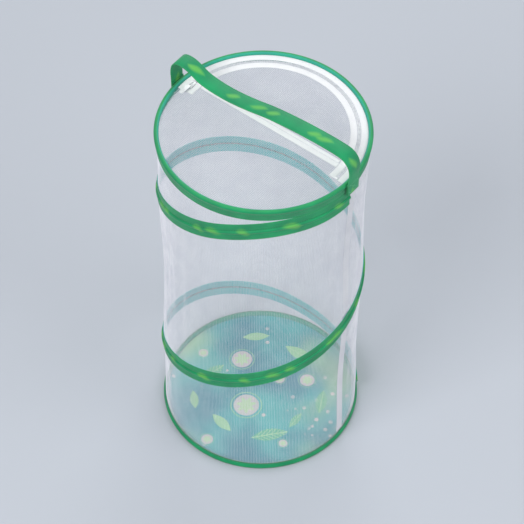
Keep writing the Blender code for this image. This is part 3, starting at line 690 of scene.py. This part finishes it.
def foldOutline(facts):  # the tape's section round the wire, its two legs drawn together on the net
    mouth, thick = cage["net"] / 2 + cage["gap"], cage["tape"]
    upward, edge = facts["up"], facts["edge"]
    bend = pi + 2 * binding["opening"]
    turns = [binding["opening"] - bend * share for share in evenly(binding["facets"])]
    neck = facts["wire"] + upward * (binding["foldOuter"] + thick)
    outerTip, innerTip = edge + upward * facts["outer"], edge + upward * facts["inner"]
    turned = upward * binding["turnedEdge"]

    def side(size, leg):
        arc = [(size * cos(turn), facts["wire"] + upward * size * sin(turn)) for turn in turns]
        return [(leg, outerTip - turned), (leg, neck)] + arc + [(-leg, neck), (-leg, innerTip - turned)]

    middle = mouth + thick / 2
    points = [(middle, outerTip)] + side(binding["foldOuter"], mouth + thick)
    points += [(-middle, innerTip)] + side(binding["foldInner"], mouth)[::-1]
    return [(cage["hoop"] + out, z) for out, z in points]


def makeBinding(name, facts, body, node):
    level = facts["edge"] + facts["up"] * facts["outer"] / 2
    bm = startMesh()
    spinRing(bm, foldOutline(facts), binding["steps"])
    layCloth(bm, cage["hoop"], level)
    lines = [z - level for z in facts["rows"]]
    finish = makeGreenTape(
        name + "Tape", facts["outer"], motifs=False, stitchLines=lines, backAndNetLight=binding["backAndNetLight"])
    makePiece(bm, name, finish, body, replaced=[node])
    leg = cage["net"] / 2 + cage["gap"] + cage["tape"]
    sewn = []
    for z in facts["rows"]:
        sewn += roundRow("tape", cage["hoop"] + leg, z, facing=1)
        if abs(z - facts["edge"]) < facts["inner"]:
            sewn += roundRow("tape", cage["hoop"] - leg, z, facing=-1)
    sewPiece(name + "Stitches", sewn, "tape", greenThread, body)


makeBinding("bottomBinding", binding["bottom"], "base", "bottom_binding")
makeBinding("topBinding", binding["top"], "top", "top_binding")
print("bindings made")


# the spiral: sprung wire in a casing of green ribbon sewn up the wall
ribbon = {
    "width": 0.032, "foot": 0.0052, "footLift": 0.0002, "footReach": 0.0008, "roundEdge": 0.0003,
    "wireRows": (-0.0038, 0.0038), "edgeRows": (-0.0143, 0.0143), "backAndNetLight": 0.8,
}


def spiralSpots(step):  # angle, wall surface and height at even steps of turn down the spiral
    for share in evenly(round(spiral["turn"] / step)):
        turned = spiral["turn"] * share
        angle, z = spiral["start"] - turned, spiralHeight(turned)
        yield angle, wallRadius(angle, z) + cage["net"] / 2, z


def ribbonOutline():  # its middle is raised in a soft tunnel over the wire
    half, foot, thick, gap = ribbon["width"] / 2, ribbon["foot"] / 2, cage["tape"], cage["gap"]
    crown = gap + 2 * spiral["wireRadius"]
    edge = half + ribbon["roundEdge"]
    footEnds = ((gap + ribbon["footLift"], foot), (gap, foot + ribbon["footReach"]), (gap, half))
    rise = [(out, -side) for out, side in footEnds[::-1]]
    for share in evenly(6)[1:-1]:
        rise.append((gap + crown * sin(pi * share), -foot * cos(pi * share)))
    rise += footEnds
    outer = []
    for out, side in rise:  # the tunnel is wider outside by the ribbon's thickness
        wider = 1 + thick / foot if abs(side) < foot + joinReach else 1
        outer.append((out + thick, side * wider))
    return rise + [(gap + thick / 2, edge)] + outer[::-1] + [(gap + thick / 2, -edge)]


def makeSpiral():
    wireLift, lift = cage["gap"] + spiral["wireRadius"], cage["gap"] + cage["tape"]
    places, wirePlaces = [], []
    for angle, surface, z in spiralSpots(spiral["step"]):
        out = polar(angle, 1, 0)
        places.append(frameAt(polar(angle, surface, z), out, up))
        wirePlaces.append(frameAt(polar(angle, surface + wireLift, z), out, up))
    finish = makeGreenTape(
        "spiralRibbonTape", ribbon["width"], stitchLines=ribbon["wireRows"], backAndNetLight=ribbon["backAndNetLight"])
    foldsWithWall(sweepPiece(
        "spiralRibbon", ribbonOutline(), places, finish, "base", ["spiral_ribbon"]))
    bm = startMesh()
    sweep(bm, roundSection(spiral["wireRadius"], spiral["wireSides"]), wirePlaces)
    foldsWithWall(makePiece(bm, "spiralWire", steel, "base", replaced=["spiral_wire"]))
    sewn = []
    for angle, surface, z in spiralSpots(stitches["tape"]["spacing"] / cage["hoop"]):
        for row in ribbon["wireRows"] + ribbon["edgeRows"]:
            sewn.append(frameAt(polar(angle, surface + lift, z + row), polar(angle, 1, 0), up))
    foldsWithWall(sewPiece("spiralStitches", sewn, "tape", greenThread, "base"))


makeSpiral()
print("spiral made")


# the side seam: white tape inside the wall
seam = {"width": 0.015, "low": 0.0103, "high": 0.5977, "steps": 60, "rows": (-0.0052, 0.0052)}


def makeSeam():
    angle, tall, thick = cage["seamAngle"], seam["high"] - seam["low"], cage["tape"]
    inward, across = polar(angle, -1, 0), polar(angle + pi / 2, 1, 0)

    def placeOnSeam(share, lift=0.0, row=0.0):
        z = seam["low"] + tall * share
        radius = wallRadius(angle, z) - cage["net"] / 2 - 2 * cage["gap"] - lift
        return frameAt(polar(angle, radius, z) + across * row, inward, across)

    outline = roundedStrip(seam["width"], thick)
    places = [placeOnSeam(share) for share in evenly(seam["steps"])]
    foldsWithWall(sweepPiece(
        "sideSeamTape", outline, places, zipTape, "base", ["side_seam_tape"]))
    sewn = [placeOnSeam(share, thick, row) for share in sharesOfRow("seam", tall) for row in seam["rows"]]
    foldsWithWall(sewPiece("sideSeamStitches", sewn, "seam", whiteThread, "base"))


makeSeam()
print("side seam made")


# the floor: printed cloth, its edge lifted into the bottom binding
floor = {
    "flatRadius": 0.1357725, "flatRings": 24, "edgeLift": 0.003, "edgeRings": 4, "thickness": 0.0008,
    "steps": 144, "wrinkle": 0.0009, "weave": 0.0009,
    "deep": (0.012, 0.22, 0.29), "pale": (0.04, 0.46, 0.44), "glow": (0.50, 0.74, 0.38),
    "cream": (0.86, 0.66, 0.62), "greens": ((0.10, 0.50, 0.25), (0.34, 0.66, 0.30)),
    # x, y, turn in degrees, length, width
    "leaves": (
        (-0.078, 0.03, 40, 0.052, 0.02), (0.062, 0.07, -35, 0.056, 0.021), (0.015, -0.088, 12, 0.06, 0.022),
        (-0.06, -0.066, -48, 0.044, 0.017), (0.096, -0.024, 80, 0.046, 0.018),
        (-0.008, 0.104, 5, 0.044, 0.016), (0.055, -0.06, 55, 0.034, 0.013),
        (-0.104, -0.022, 98, 0.036, 0.014),
    ),
    # x, y, radius
    "rounds": (
        (-0.03, 0.058, 0.021), (0.074, 0.018, 0.015), (-0.022, -0.032, 0.026), (0.03, 0.02, 0.011),
        (-0.092, 0.07, 0.01), (0.036, -0.104, 0.009), (-0.082, -0.098, 0.012),
    ),
}


def placed(spot, x, y, turn, halfLength, halfWidth):  # the spot in a motif's own frame and size
    inputs = {"Vector": spot, "Location": (x, y, 0), "Rotation": (0, 0, turn * degree),
              "Scale": (halfLength, halfWidth, 1)}
    return partsOfSpot(addNode(spot.id_data, "Mapping", inputs, vector_type="TEXTURE").outputs[0])


def printRound(spot, colour, x, y, radius):  # a disc with seven petals in a thin ring
    out, side = placed(spot, x, y, 0, radius, radius)
    size = maths("SQRT", maths("ADD", times(out, out), times(side, side)))
    petals = maths("SINE", times(maths("ARCTAN2", side, out), 7.0))
    colour = tint(colour, fade(size, 0.80, 0.74), 0.7, floor["cream"])
    colour = tint(colour, fade(scaled(petals, -0.12, size), 0.50, 0.44), 0.8, floor["glow"])
    return tint(colour, fade(distance(size, 0.93), 0.05, 0.02), 0.7, floor["greens"][1])


def printLeaf(spot, colour, green, x, y, turn, length, width):  # a pointed leaf with its veins
    out, side = placed(spot, x, y, turn, length / 2, width / 2)
    offMiddle = maths("ABSOLUTE", side)
    vein = fade(offMiddle, 0.10, 0.04)
    barbs = fade(ribs(minus(out, times(offMiddle, 0.45)), 0.26), 0.86, 0.97)
    veined = mixColour(maths("MAXIMUM", vein, barbs), green, floor["glow"])
    return tint(colour, fade(leafBlade(out, offMiddle), 0.0, 0.07), 0.85, veined)


def makeFloorPrint():  # leaves, rounds and dots on a clouded teal ground
    finish, tree = newFinish("floorPrint")
    spot = objectSpot(tree)
    cloud = noise(spot, 9.0, 2.0)
    colour = mixColour(fade(cloud, 0.36, 0.66), floor["deep"], floor["pale"])
    moved = addNode(tree, "Mapping", {"Vector": spot, "Location": (3.1, 1.7, 0)}).outputs[0]
    colour = tint(colour, fade(noise(moved, 7.0, 1.5), 0.50, 0.72), 0.75, floor["glow"])
    cells = {"Vector": spot, "Scale": 62.0, "Randomness": 0.85}
    dots = fade(addNode(tree, "TexVoronoi", cells).outputs["Distance"], 0.24, 0.18)
    dots = times(dots, fade(noise(spot, 14.0, 1.0), 0.52, 0.62))
    colour = tint(colour, dots, 0.8, floor["cream"])
    for facts in floor["rounds"]:
        colour = printRound(spot, colour, *facts)
    for i, facts in enumerate(floor["leaves"]):
        colour = printLeaf(spot, colour, floor["greens"][i % 2], *facts)
    x, y = partsOfSpot(spot)
    weave = times(ribs(x, floor["weave"]), ribs(y, floor["weave"]))
    # painted shade: the weave's grooves are darkened towards the deep teal
    colour = tint(colour, fade(weave, 0.3, 0.0), 0.12, floor["deep"])
    bump = relief(weave, 0.00008, relief(noise(spot, 22.0, 3.0), 0.0012))
    return plugSurface(finish, colour, scaled(cloud, 0.2, 0.62), bump, specular=0.25, sheen=0.1)


def makeFloor():
    radius, flat = cage["panel"], floor["flatRadius"]
    profile = [(flat * share, 0.0) for share in evenly(floor["flatRings"])]
    for share in evenly(floor["edgeRings"])[1:]:
        profile.append((flat + (radius - flat) * share, floor["edgeLift"] * (1 - cos(pi * share)) / 2))
    bm = startMesh()
    spinRing(bm, profile, floor["steps"], closed=False)
    bmesh.ops.remove_doubles(bm, verts=bm.verts, dist=joinReach)
    bmesh.ops.recalc_face_normals(bm, faces=bm.faces)
    if bm.faces[0].normal.z < 0:
        bmesh.ops.reverse_faces(bm, faces=bm.faces)
    for vert in bm.verts:  # soft wrinkles that die out at the edge
        x, y, out = vert.co.x, vert.co.y, vert.co.xy.length
        swell = sin(x * 61 + 2.2 * sin(y * 23)) * sin(y * 47 + 1.7 * sin(x * 31) + 0.8)
        vert.co.z += floor["wrinkle"] * max(0.0, swell) * max(0.0, 1 - (out / flat) ** 4)
    bmesh.ops.solidify(bm, geom=partsOf(bm), thickness=-floor["thickness"])
    low = min(vert.co.z for vert in bm.verts)
    bmesh.ops.translate(bm, verts=bm.verts, vec=(0, 0, -low))
    cloth = makePiece(bm, "floorCloth", makeFloorPrint(), "base", replaced=["floor_panel"])


makeFloor()
print("floor made")


# the zip: two tapes with coils of teeth, round the flap
zipper = {
    "heights": (0.6062, 0.6070), "middle": 0.6066, "chain": 0.1325725, "pitch": 0.0017,
    "outerTape": (0.1352725, 0.1447725), "innerTape": (0.1203725, 0.1298725),
    "outerTeeth": (0.1323, 0.135), "innerTeeth": (0.13015, 0.13285),
    "outerRows": (0.1422, 0.1364725), "innerRows": (0.1226, 0.1272), "rowRoom": 0.002,
    "ends": (48.195 * degree, 236.805 * degree), "folds": (59.43 * degree, 225.57 * degree),
    "arcStep": 1.5 * degree, "foldRoom": 0.35 * degree, "stopLength": 0.0033,
    "toothWidth": 0.00082, "toothHeight": 0.0022,
    "spare": 0.13,  # radians of inner tape past the fold, which the cut takes off
    # where the slider parks the teeth stand apart for its post
    "parks": (54.57 * degree, 230.47 * degree), "parkReach": 3.4 * degree, "postRoom": 0.00045,
}


# a flat tape round the axis with soft edges, cut on one side of the flap's fold by foldSide 1 or -1
def makeZipTape(name, span, start, end, body, node, foldSide=0):
    (inner, outer), (low, high) = span, zipper["heights"]
    soft, level = (high - low) / 2, (high + low) / 2
    edge = [(0.0, level), (soft * 0.4, high - soft * 0.3), (soft, high)]
    upper = [(inner + out, z) for out, z in edge] + [(outer - out, z) for out, z in edge[::-1]]
    lower = [(out, low + high - z) for out, z in upper[-2:0:-1]]
    bm = startMesh()
    spinRing(bm, upper + lower, max(4, round((end - start) / zipper["arcStep"])), start, end)
    if foldSide:
        point = flapSide * (cage["foldOffset"] + foldSide * cage["gap"])
        bmesh.ops.bisect_plane(bm, geom=partsOf(bm), dist=joinReach / 10, plane_co=point,
                               plane_no=flapSide * -foldSide, clear_outer=True)
        closeEnds(bm)
    layCloth(bm, zipper["chain"], inner, flat=True)
    makePiece(bm, name, zipTape, body, replaced=[node])


# teeth between two radii, half a pitch on for the side that meshes with it
def makeCoil(name, span, start, end, half, body, node):
    chain, pitch, room = zipper["chain"], zipper["pitch"] / zipper["chain"], zipper["postRoom"]
    parted = (chain + room, span[1]) if sum(span) > 2 * chain else (span[0], chain - room)
    numbers = range(ceil(start / pitch - half), ceil(end / pitch - half))
    angles = [(number + half) * pitch for number in numbers]
    parked = {a for a in angles if any(abs(a - park) < zipper["parkReach"] for park in zipper["parks"])}
    bm = startMesh()
    for (inner, outer), chosen in ((span, [a for a in angles if a not in parked]), (parted, sorted(parked))):
        spots = [(a, polar(a, (inner + outer) / 2, zipper["middle"])) for a in chosen]
        places = [frameAt(spot, up, polar(a, 1, 0)) for a, spot in spots]
        sew(bm, places, (zipper["toothWidth"], outer - inner, zipper["toothHeight"]))
    makePiece(bm, name, nylon, body, replaced=[node])


def makeZip():
    (rightEnd, leftEnd), (rightFold, leftFold) = zipper["ends"], zipper["folds"]
    innerTape, outerTeeth, innerTeeth = zipper["innerTape"], zipper["outerTeeth"], zipper["innerTeeth"]
    spare, room, stop = zipper["spare"], zipper["foldRoom"], zipper["stopLength"] / zipper["chain"]
    high = zipper["heights"][1]

    makeZipTape("zipTapeOuter", zipper["outerTape"], rightEnd, leftEnd, "top", "zipper_tape_outer")
    sewn = []
    for radius in zipper["outerRows"]:
        sewn += roundRow("zip", radius, high, rightEnd, leftEnd)
    sewPiece("zipStitchesOuter", sewn, "zip", whiteThread, "top")
    makeCoil("zipCoilOuter", outerTeeth, rightEnd + stop, leftEnd - stop, 0.0, "top", "zipper_coil_outer")

    start, end = rightFold - spare, leftFold + spare
    makeZipTape("zipTapeInner", innerTape, start, end, "flap", "zipper_tape_inner", 1)
    sewn = []
    for radius in zipper["innerRows"]:
        lean = asin((cage["foldOffset"] + zipper["rowRoom"]) / radius)
        sewn += roundRow("zip", radius, high, cage["handleAngle"] + lean, cage["handleAngle"] + pi - lean)
    sewPiece("zipStitchesInner", sewn, "zip", whiteThread, "flap")
    makeCoil("zipCoilInner", innerTeeth, rightFold + room, leftFold - room, 0.5, "flap", "zipper_coil_inner")

    ends = (("Right", rightEnd, rightFold + spare, rightEnd + stop, rightFold - room),
            ("Left", leftFold - spare, leftEnd, leftFold + room, leftEnd - stop))
    for side, start, end, firstTooth, lastTooth in ends:
        makeZipTape("zipEndTape" + side, innerTape, start, end, "top", "zipper_end_tape_" + side.lower(), -1)
        makeCoil("zipEndCoil" + side, innerTeeth, firstTooth, lastTooth, 0.5, "top",
                 "zipper_end_coil_" + side.lower())


makeZip()
print("zip made")


# the fold: a tape on the fixed half, and the flap's hem beside it
fold = {
    "low": 0.6062, "steps": 48, "tapeWidth": 0.008, "tapeHalf": 0.119, "tapeRows": (-0.0026, 0.0026),
    "hemWidth": 0.005, "hemHalf": 0.1172, "hemRows": (0.0,),
}


def straightTape(name, side, width, half, rows, body, replaced=()):  # beside the fold line, on one side of it
    thick = cage["tape"]
    middle = cage["foldOffset"] + side * (cage["gap"] + width / 2)

    def placeOnTape(share, lift=0.0, row=0.0):
        spot = handleLine * (2 * share - 1) * half + flapSide * (middle + row) + up * (fold["low"] + lift)
        return frameAt(spot, up, flapSide)

    places = [placeOnTape(share) for share in evenly(fold["steps"])]
    sweepPiece(name, roundedStrip(width, thick), places, zipTape, body, replaced)
    sewn = [placeOnTape(share, thick, row) for share in sharesOfRow("fold", 2 * half) for row in rows]
    sewPiece(name + "Stitches", sewn, "fold", whiteThread, body)


straightTape("foldTape", -1, fold["tapeWidth"], fold["tapeHalf"], fold["tapeRows"], "top", ["fold_tape"])
straightTape("flapHem", 1, fold["hemWidth"], fold["hemHalf"], fold["hemRows"], "flap")
print("fold made")


# the slider, its pull and the stops: the CAD's own shapes, their flats joined and their edges rounded
def softened(node, name, body, width):
    bm = bmesh.new()
    bm.from_mesh(nodes[node].data)
    bmesh.ops.remove_doubles(bm, verts=bm.verts, dist=0.00001)
    bmesh.ops.dissolve_limit(bm, angle_limit=2 * degree, verts=bm.verts, edges=bm.edges)
    corners = [edge for edge in bm.edges if edge.is_manifold and edge.calc_face_angle() > 30 * degree]
    bmesh.ops.bevel(bm, geom=corners, offset=width, offset_type="OFFSET", segments=2, profile=0.5,
                    affect="EDGES", clamp_overlap=True, material=-1)
    makePiece(bm, name, lacquer, body, sharp=50, replaced=[node])


softened("zipper_slider", "zipSlider", "slider", 0.00022)
softened("zipper_pull", "zipPull", "pull", 0.00028)
softened("zipper_stop_left", "zipStopLeft", "top", 0.0003)
softened("zipper_stop_right", "zipStopRight", "top", 0.0003)
print("slider made")


# the handle: a webbing strap sewn to doubled patches on the rim
handle = {
    "reach": 0.15505, "rise": 0.048, "width": 0.025, "thickness": 0.0015, "low": 0.5892, "steps": 110,
    "footSteps": 8, "fineSteps": 16, "ribSpacing": 0.0015, "stitchLines": (-0.0105, 0.0105),
    # the strap's run from left to right, as shares of its reach and rise
    "sharesOutUp": (
        (1, -0.06), (1.002, 0.2), (1.006, 0.5), (0.985, 0.78), (0.925, 0.92), (0.82, 0.9),
        (0.65, 0.66), (0.42, 0.6), (0.18, 0.68), (-0.08, 0.85), (-0.34, 0.95), (-0.6, 1),
        (-0.8, 1), (-0.92, 0.95), (-0.985, 0.76), (-1.006, 0.5), (-1.002, 0.2), (-1, -0.06),
    ),
    "box": {"width": 0.018, "height": 0.016, "level": 0.6015, "lift": 0.0001},
    "patch": {"inside": 0.1528, "thickness": 0.0012, "low": 0.59, "high": 0.61, "steps": 12},
    "blendFrom": 0.592, "blendTo": 0.628,
}


def smoothRun(points, count):  # even steps along a smooth curve through the points
    fine = []
    padded = [points[0]] + points + [points[-1]]
    for p0, p1, p2, p3 in zip(padded, padded[1:], padded[2:], padded[3:]):
        for t in evenly(handle["fineSteps"])[:-1]:
            fine.append(0.5 * (2 * p1 + (p2 - p0) * t + (2 * p0 - 5 * p1 + 4 * p2 - p3) * t ** 2
                               + (3 * p1 - p0 - 3 * p2 + p3) * t ** 3))
    fine.append(points[-1])
    lengths = [0.0]
    for before, after in zip(fine, fine[1:]):
        lengths.append(lengths[-1] + (after - before).length)
    result, spot = [], 0
    for want in (lengths[-1] * share for share in evenly(count)):
        while spot < len(fine) - 2 and lengths[spot + 1] < want:
            spot += 1
        share = (want - lengths[spot]) / (lengths[spot + 1] - lengths[spot])
        result.append(fine[spot].lerp(fine[spot + 1], share))
    return result


def strapPlaces():
    reach, low, foot = handle["reach"], handle["low"], evenly(handle["footSteps"])
    shape = []
    for out, rise in handle["sharesOutUp"]:
        shape.append(Vector((-out * reach, cage["height"] + rise * handle["rise"])))
    start, end = Vector((-reach, low)), Vector((reach, low))
    run = [start.lerp(shape[0], share) for share in foot[:-1]] + smoothRun(shape, handle["steps"])
    run += [shape[-1].lerp(end, share) for share in foot[1:]]
    places = []
    for i, point in enumerate(run):
        ahead = (run[min(i + 1, len(run) - 1)] - run[max(i - 1, 0)]).normalized()
        out = handleLine * -ahead.y + up * ahead.x
        places.append(frameAt(handleLine * point.x + up * point.y, out, flapSide))
    return places


def boxOfStitches(out):  # round a box on the strap's foot and along its two diagonals
    box = handle["box"]
    half, tall = box["width"] / 2, box["height"] / 2
    spot = out * (handle["reach"] + handle["thickness"] / 2 + box["lift"]) + up * box["level"]
    corners = [flapSide * x + up * z for x, z in ((-half, -tall), (half, -tall), (half, tall), (-half, tall))]
    places = []
    for first, last in ((0, 1), (1, 2), (2, 3), (3, 0), (0, 2), (1, 3)):
        line = corners[last] - corners[first]
        side = out.cross(line.normalized())
        for share in sharesOfRow("webbing", line.length, least=2):
            places.append(frameAt(spot + corners[first] + line * share, out, side))
    return places


def makeHandle():
    thick, width, patch = handle["thickness"], handle["width"], handle["patch"]
    webbing = makeGreenTape("handleWebbing", width, handle["ribSpacing"], stitchLines=handle["stitchLines"])
    outline = roundedStrip(width, thick, lift=-thick / 2)
    places = strapPlaces()
    strap = sweepPiece("handleStrap", outline, places, webbing, None, ["handle_strap"])
    sewn = boxOfStitches(-handleLine) + boxOfStitches(handleLine)
    ends = sewPiece("handleStitches", sewn, "webbing", paleThread, None)
    for piece in (strap, ends):
        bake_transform(piece, "top", "handle", start=(0, 0, handle["blendFrom"]), end=(0, 0, handle["blendTo"]))

    outline, tall = roundedStrip(width, patch["thickness"]), patch["high"] - patch["low"]
    for name, out in (("Right", handleLine), ("Left", -handleLine)):
        heights = [patch["low"] + tall * share for share in evenly(patch["steps"])]
        places = [frameAt(out * patch["inside"] + up * z, out, flapSide) for z in heights]
        node = "handle_anchor_" + name.lower()
        sweepPiece("handlePatch" + name, outline, places, webbing, "top", [node])


makeHandle()
print("handle made")

for name in ("top_hoop_wire", "top_hoop_ferrule", "bottom_hoop_wire", "bottom_hoop_ferrule"):
    nodes[name].data.materials.clear()
    nodes[name].data.materials.append(steel)


# camera, lights, and a floor that fades into the backdrop's colour
view = {"target": (0.0, 0.0, 0.318), "elevation": 50.8, "distance": 3.55, "lens": 165, "roll": 0.7}
stage = {
    "floor": (0.52, 0.55, 0.60), "backdrop": (0.56, 0.60, 0.66), "sky": (0.62, 0.64, 0.67),
    "skyStrength": 0.65, "reach": 12.0, "drop": 0.0004, "fadeFrom": 0.7, "fadeTo": 2.4,
}
lights = {
    "key": {"spot": (-1.9, -2.2, 3.4), "size": 2.2, "power": 95},
    "fill": {"spot": (2.6, -1.6, 2.2), "size": 2.6, "power": 45},
    "back": {"spot": (0.4, 2.6, 2.8), "size": 2.4, "power": 45},
}


def aim(made, spot, target, roll=0.0):
    turn = (Vector(target) - Vector(spot)).to_track_quat("-Z", "Y").to_matrix().to_4x4()
    made.matrix_world = Matrix.Translation(spot) @ turn @ Matrix.Rotation(roll, 4, "Z")


def makeCamera():
    camera = addObject("camera", bpy.data.cameras.new("camera"))
    lift, target = view["elevation"] * degree, Vector(view["target"])
    away = Vector((0, -cos(lift), sin(lift))) * view["distance"]
    aim(camera, target + away, target, view["roll"] * degree)
    camera.data.lens = view["lens"]
    camera.data.dof.use_dof = False
    camera.data.clip_start, camera.data.clip_end = 0.05, 60
    bpy.context.scene.camera = camera


def seenPlainly(tree):  # 1 where the camera or a reflection looks, 0 for light that falls on things
    ray = addNode(tree, "LightPath").outputs
    bounced = maths("MAXIMUM", ray["Is Glossy Ray"], ray["Is Transmission Ray"])
    return maths("MAXIMUM", ray["Is Camera Ray"], bounced)


def toBackdrop(tree, kind, share, shader, output):
    plain = addNode(tree, kind, {"Color": (*stage["backdrop"], 1), "Strength": 1.0})
    both = addNode(tree, "MixShader", {0: share, 1: shader, 2: plain.outputs[0]})
    plug(tree.nodes[output].inputs[0], both.outputs[0])


def makeLights():
    for name, facts in lights.items():
        lamp = bpy.data.lights.new(name, "AREA")
        lamp.shape, lamp.size, lamp.energy = "DISK", facts["size"], facts["power"]
        aim(addObject(name, lamp), facts["spot"], (0, 0, 0.3))
    world = bpy.data.worlds.new("studio")
    bpy.context.scene.world = world
    world.use_nodes = True
    tree = world.node_tree
    sky = tree.nodes["Background"]
    plug(sky.inputs["Color"], (*stage["sky"], 1))
    plug(sky.inputs["Strength"], stage["skyStrength"])
    toBackdrop(tree, "Background", seenPlainly(tree), sky.outputs[0], "World Output")


def makeStage():
    finish, tree = newFinish("stage")
    plugSurface(finish, (*stage["floor"], 1), 0.85, specular=0.1)
    away = vectorMaths("LENGTH", objectSpot(tree))["Value"]
    share = times(fade(away, stage["fadeFrom"], stage["fadeTo"]), seenPlainly(tree))
    toBackdrop(tree, "Emission", share, tree.nodes["Principled BSDF"].outputs[0], "Material Output")
    bm = bmesh.new()
    bmesh.ops.create_circle(bm, cap_ends=True, segments=96, radius=stage["reach"],
                            matrix=Matrix.Translation((0, 0, -stage["drop"])))
    mesh = bpy.data.meshes.new("stageFloor")
    bm.to_mesh(mesh)
    bm.free()
    mesh.materials.append(finish)
    addObject("stageFloor", mesh)


makeCamera()
makeLights()
makeStage()
bpy.context.scene.view_settings.view_transform = "Standard"
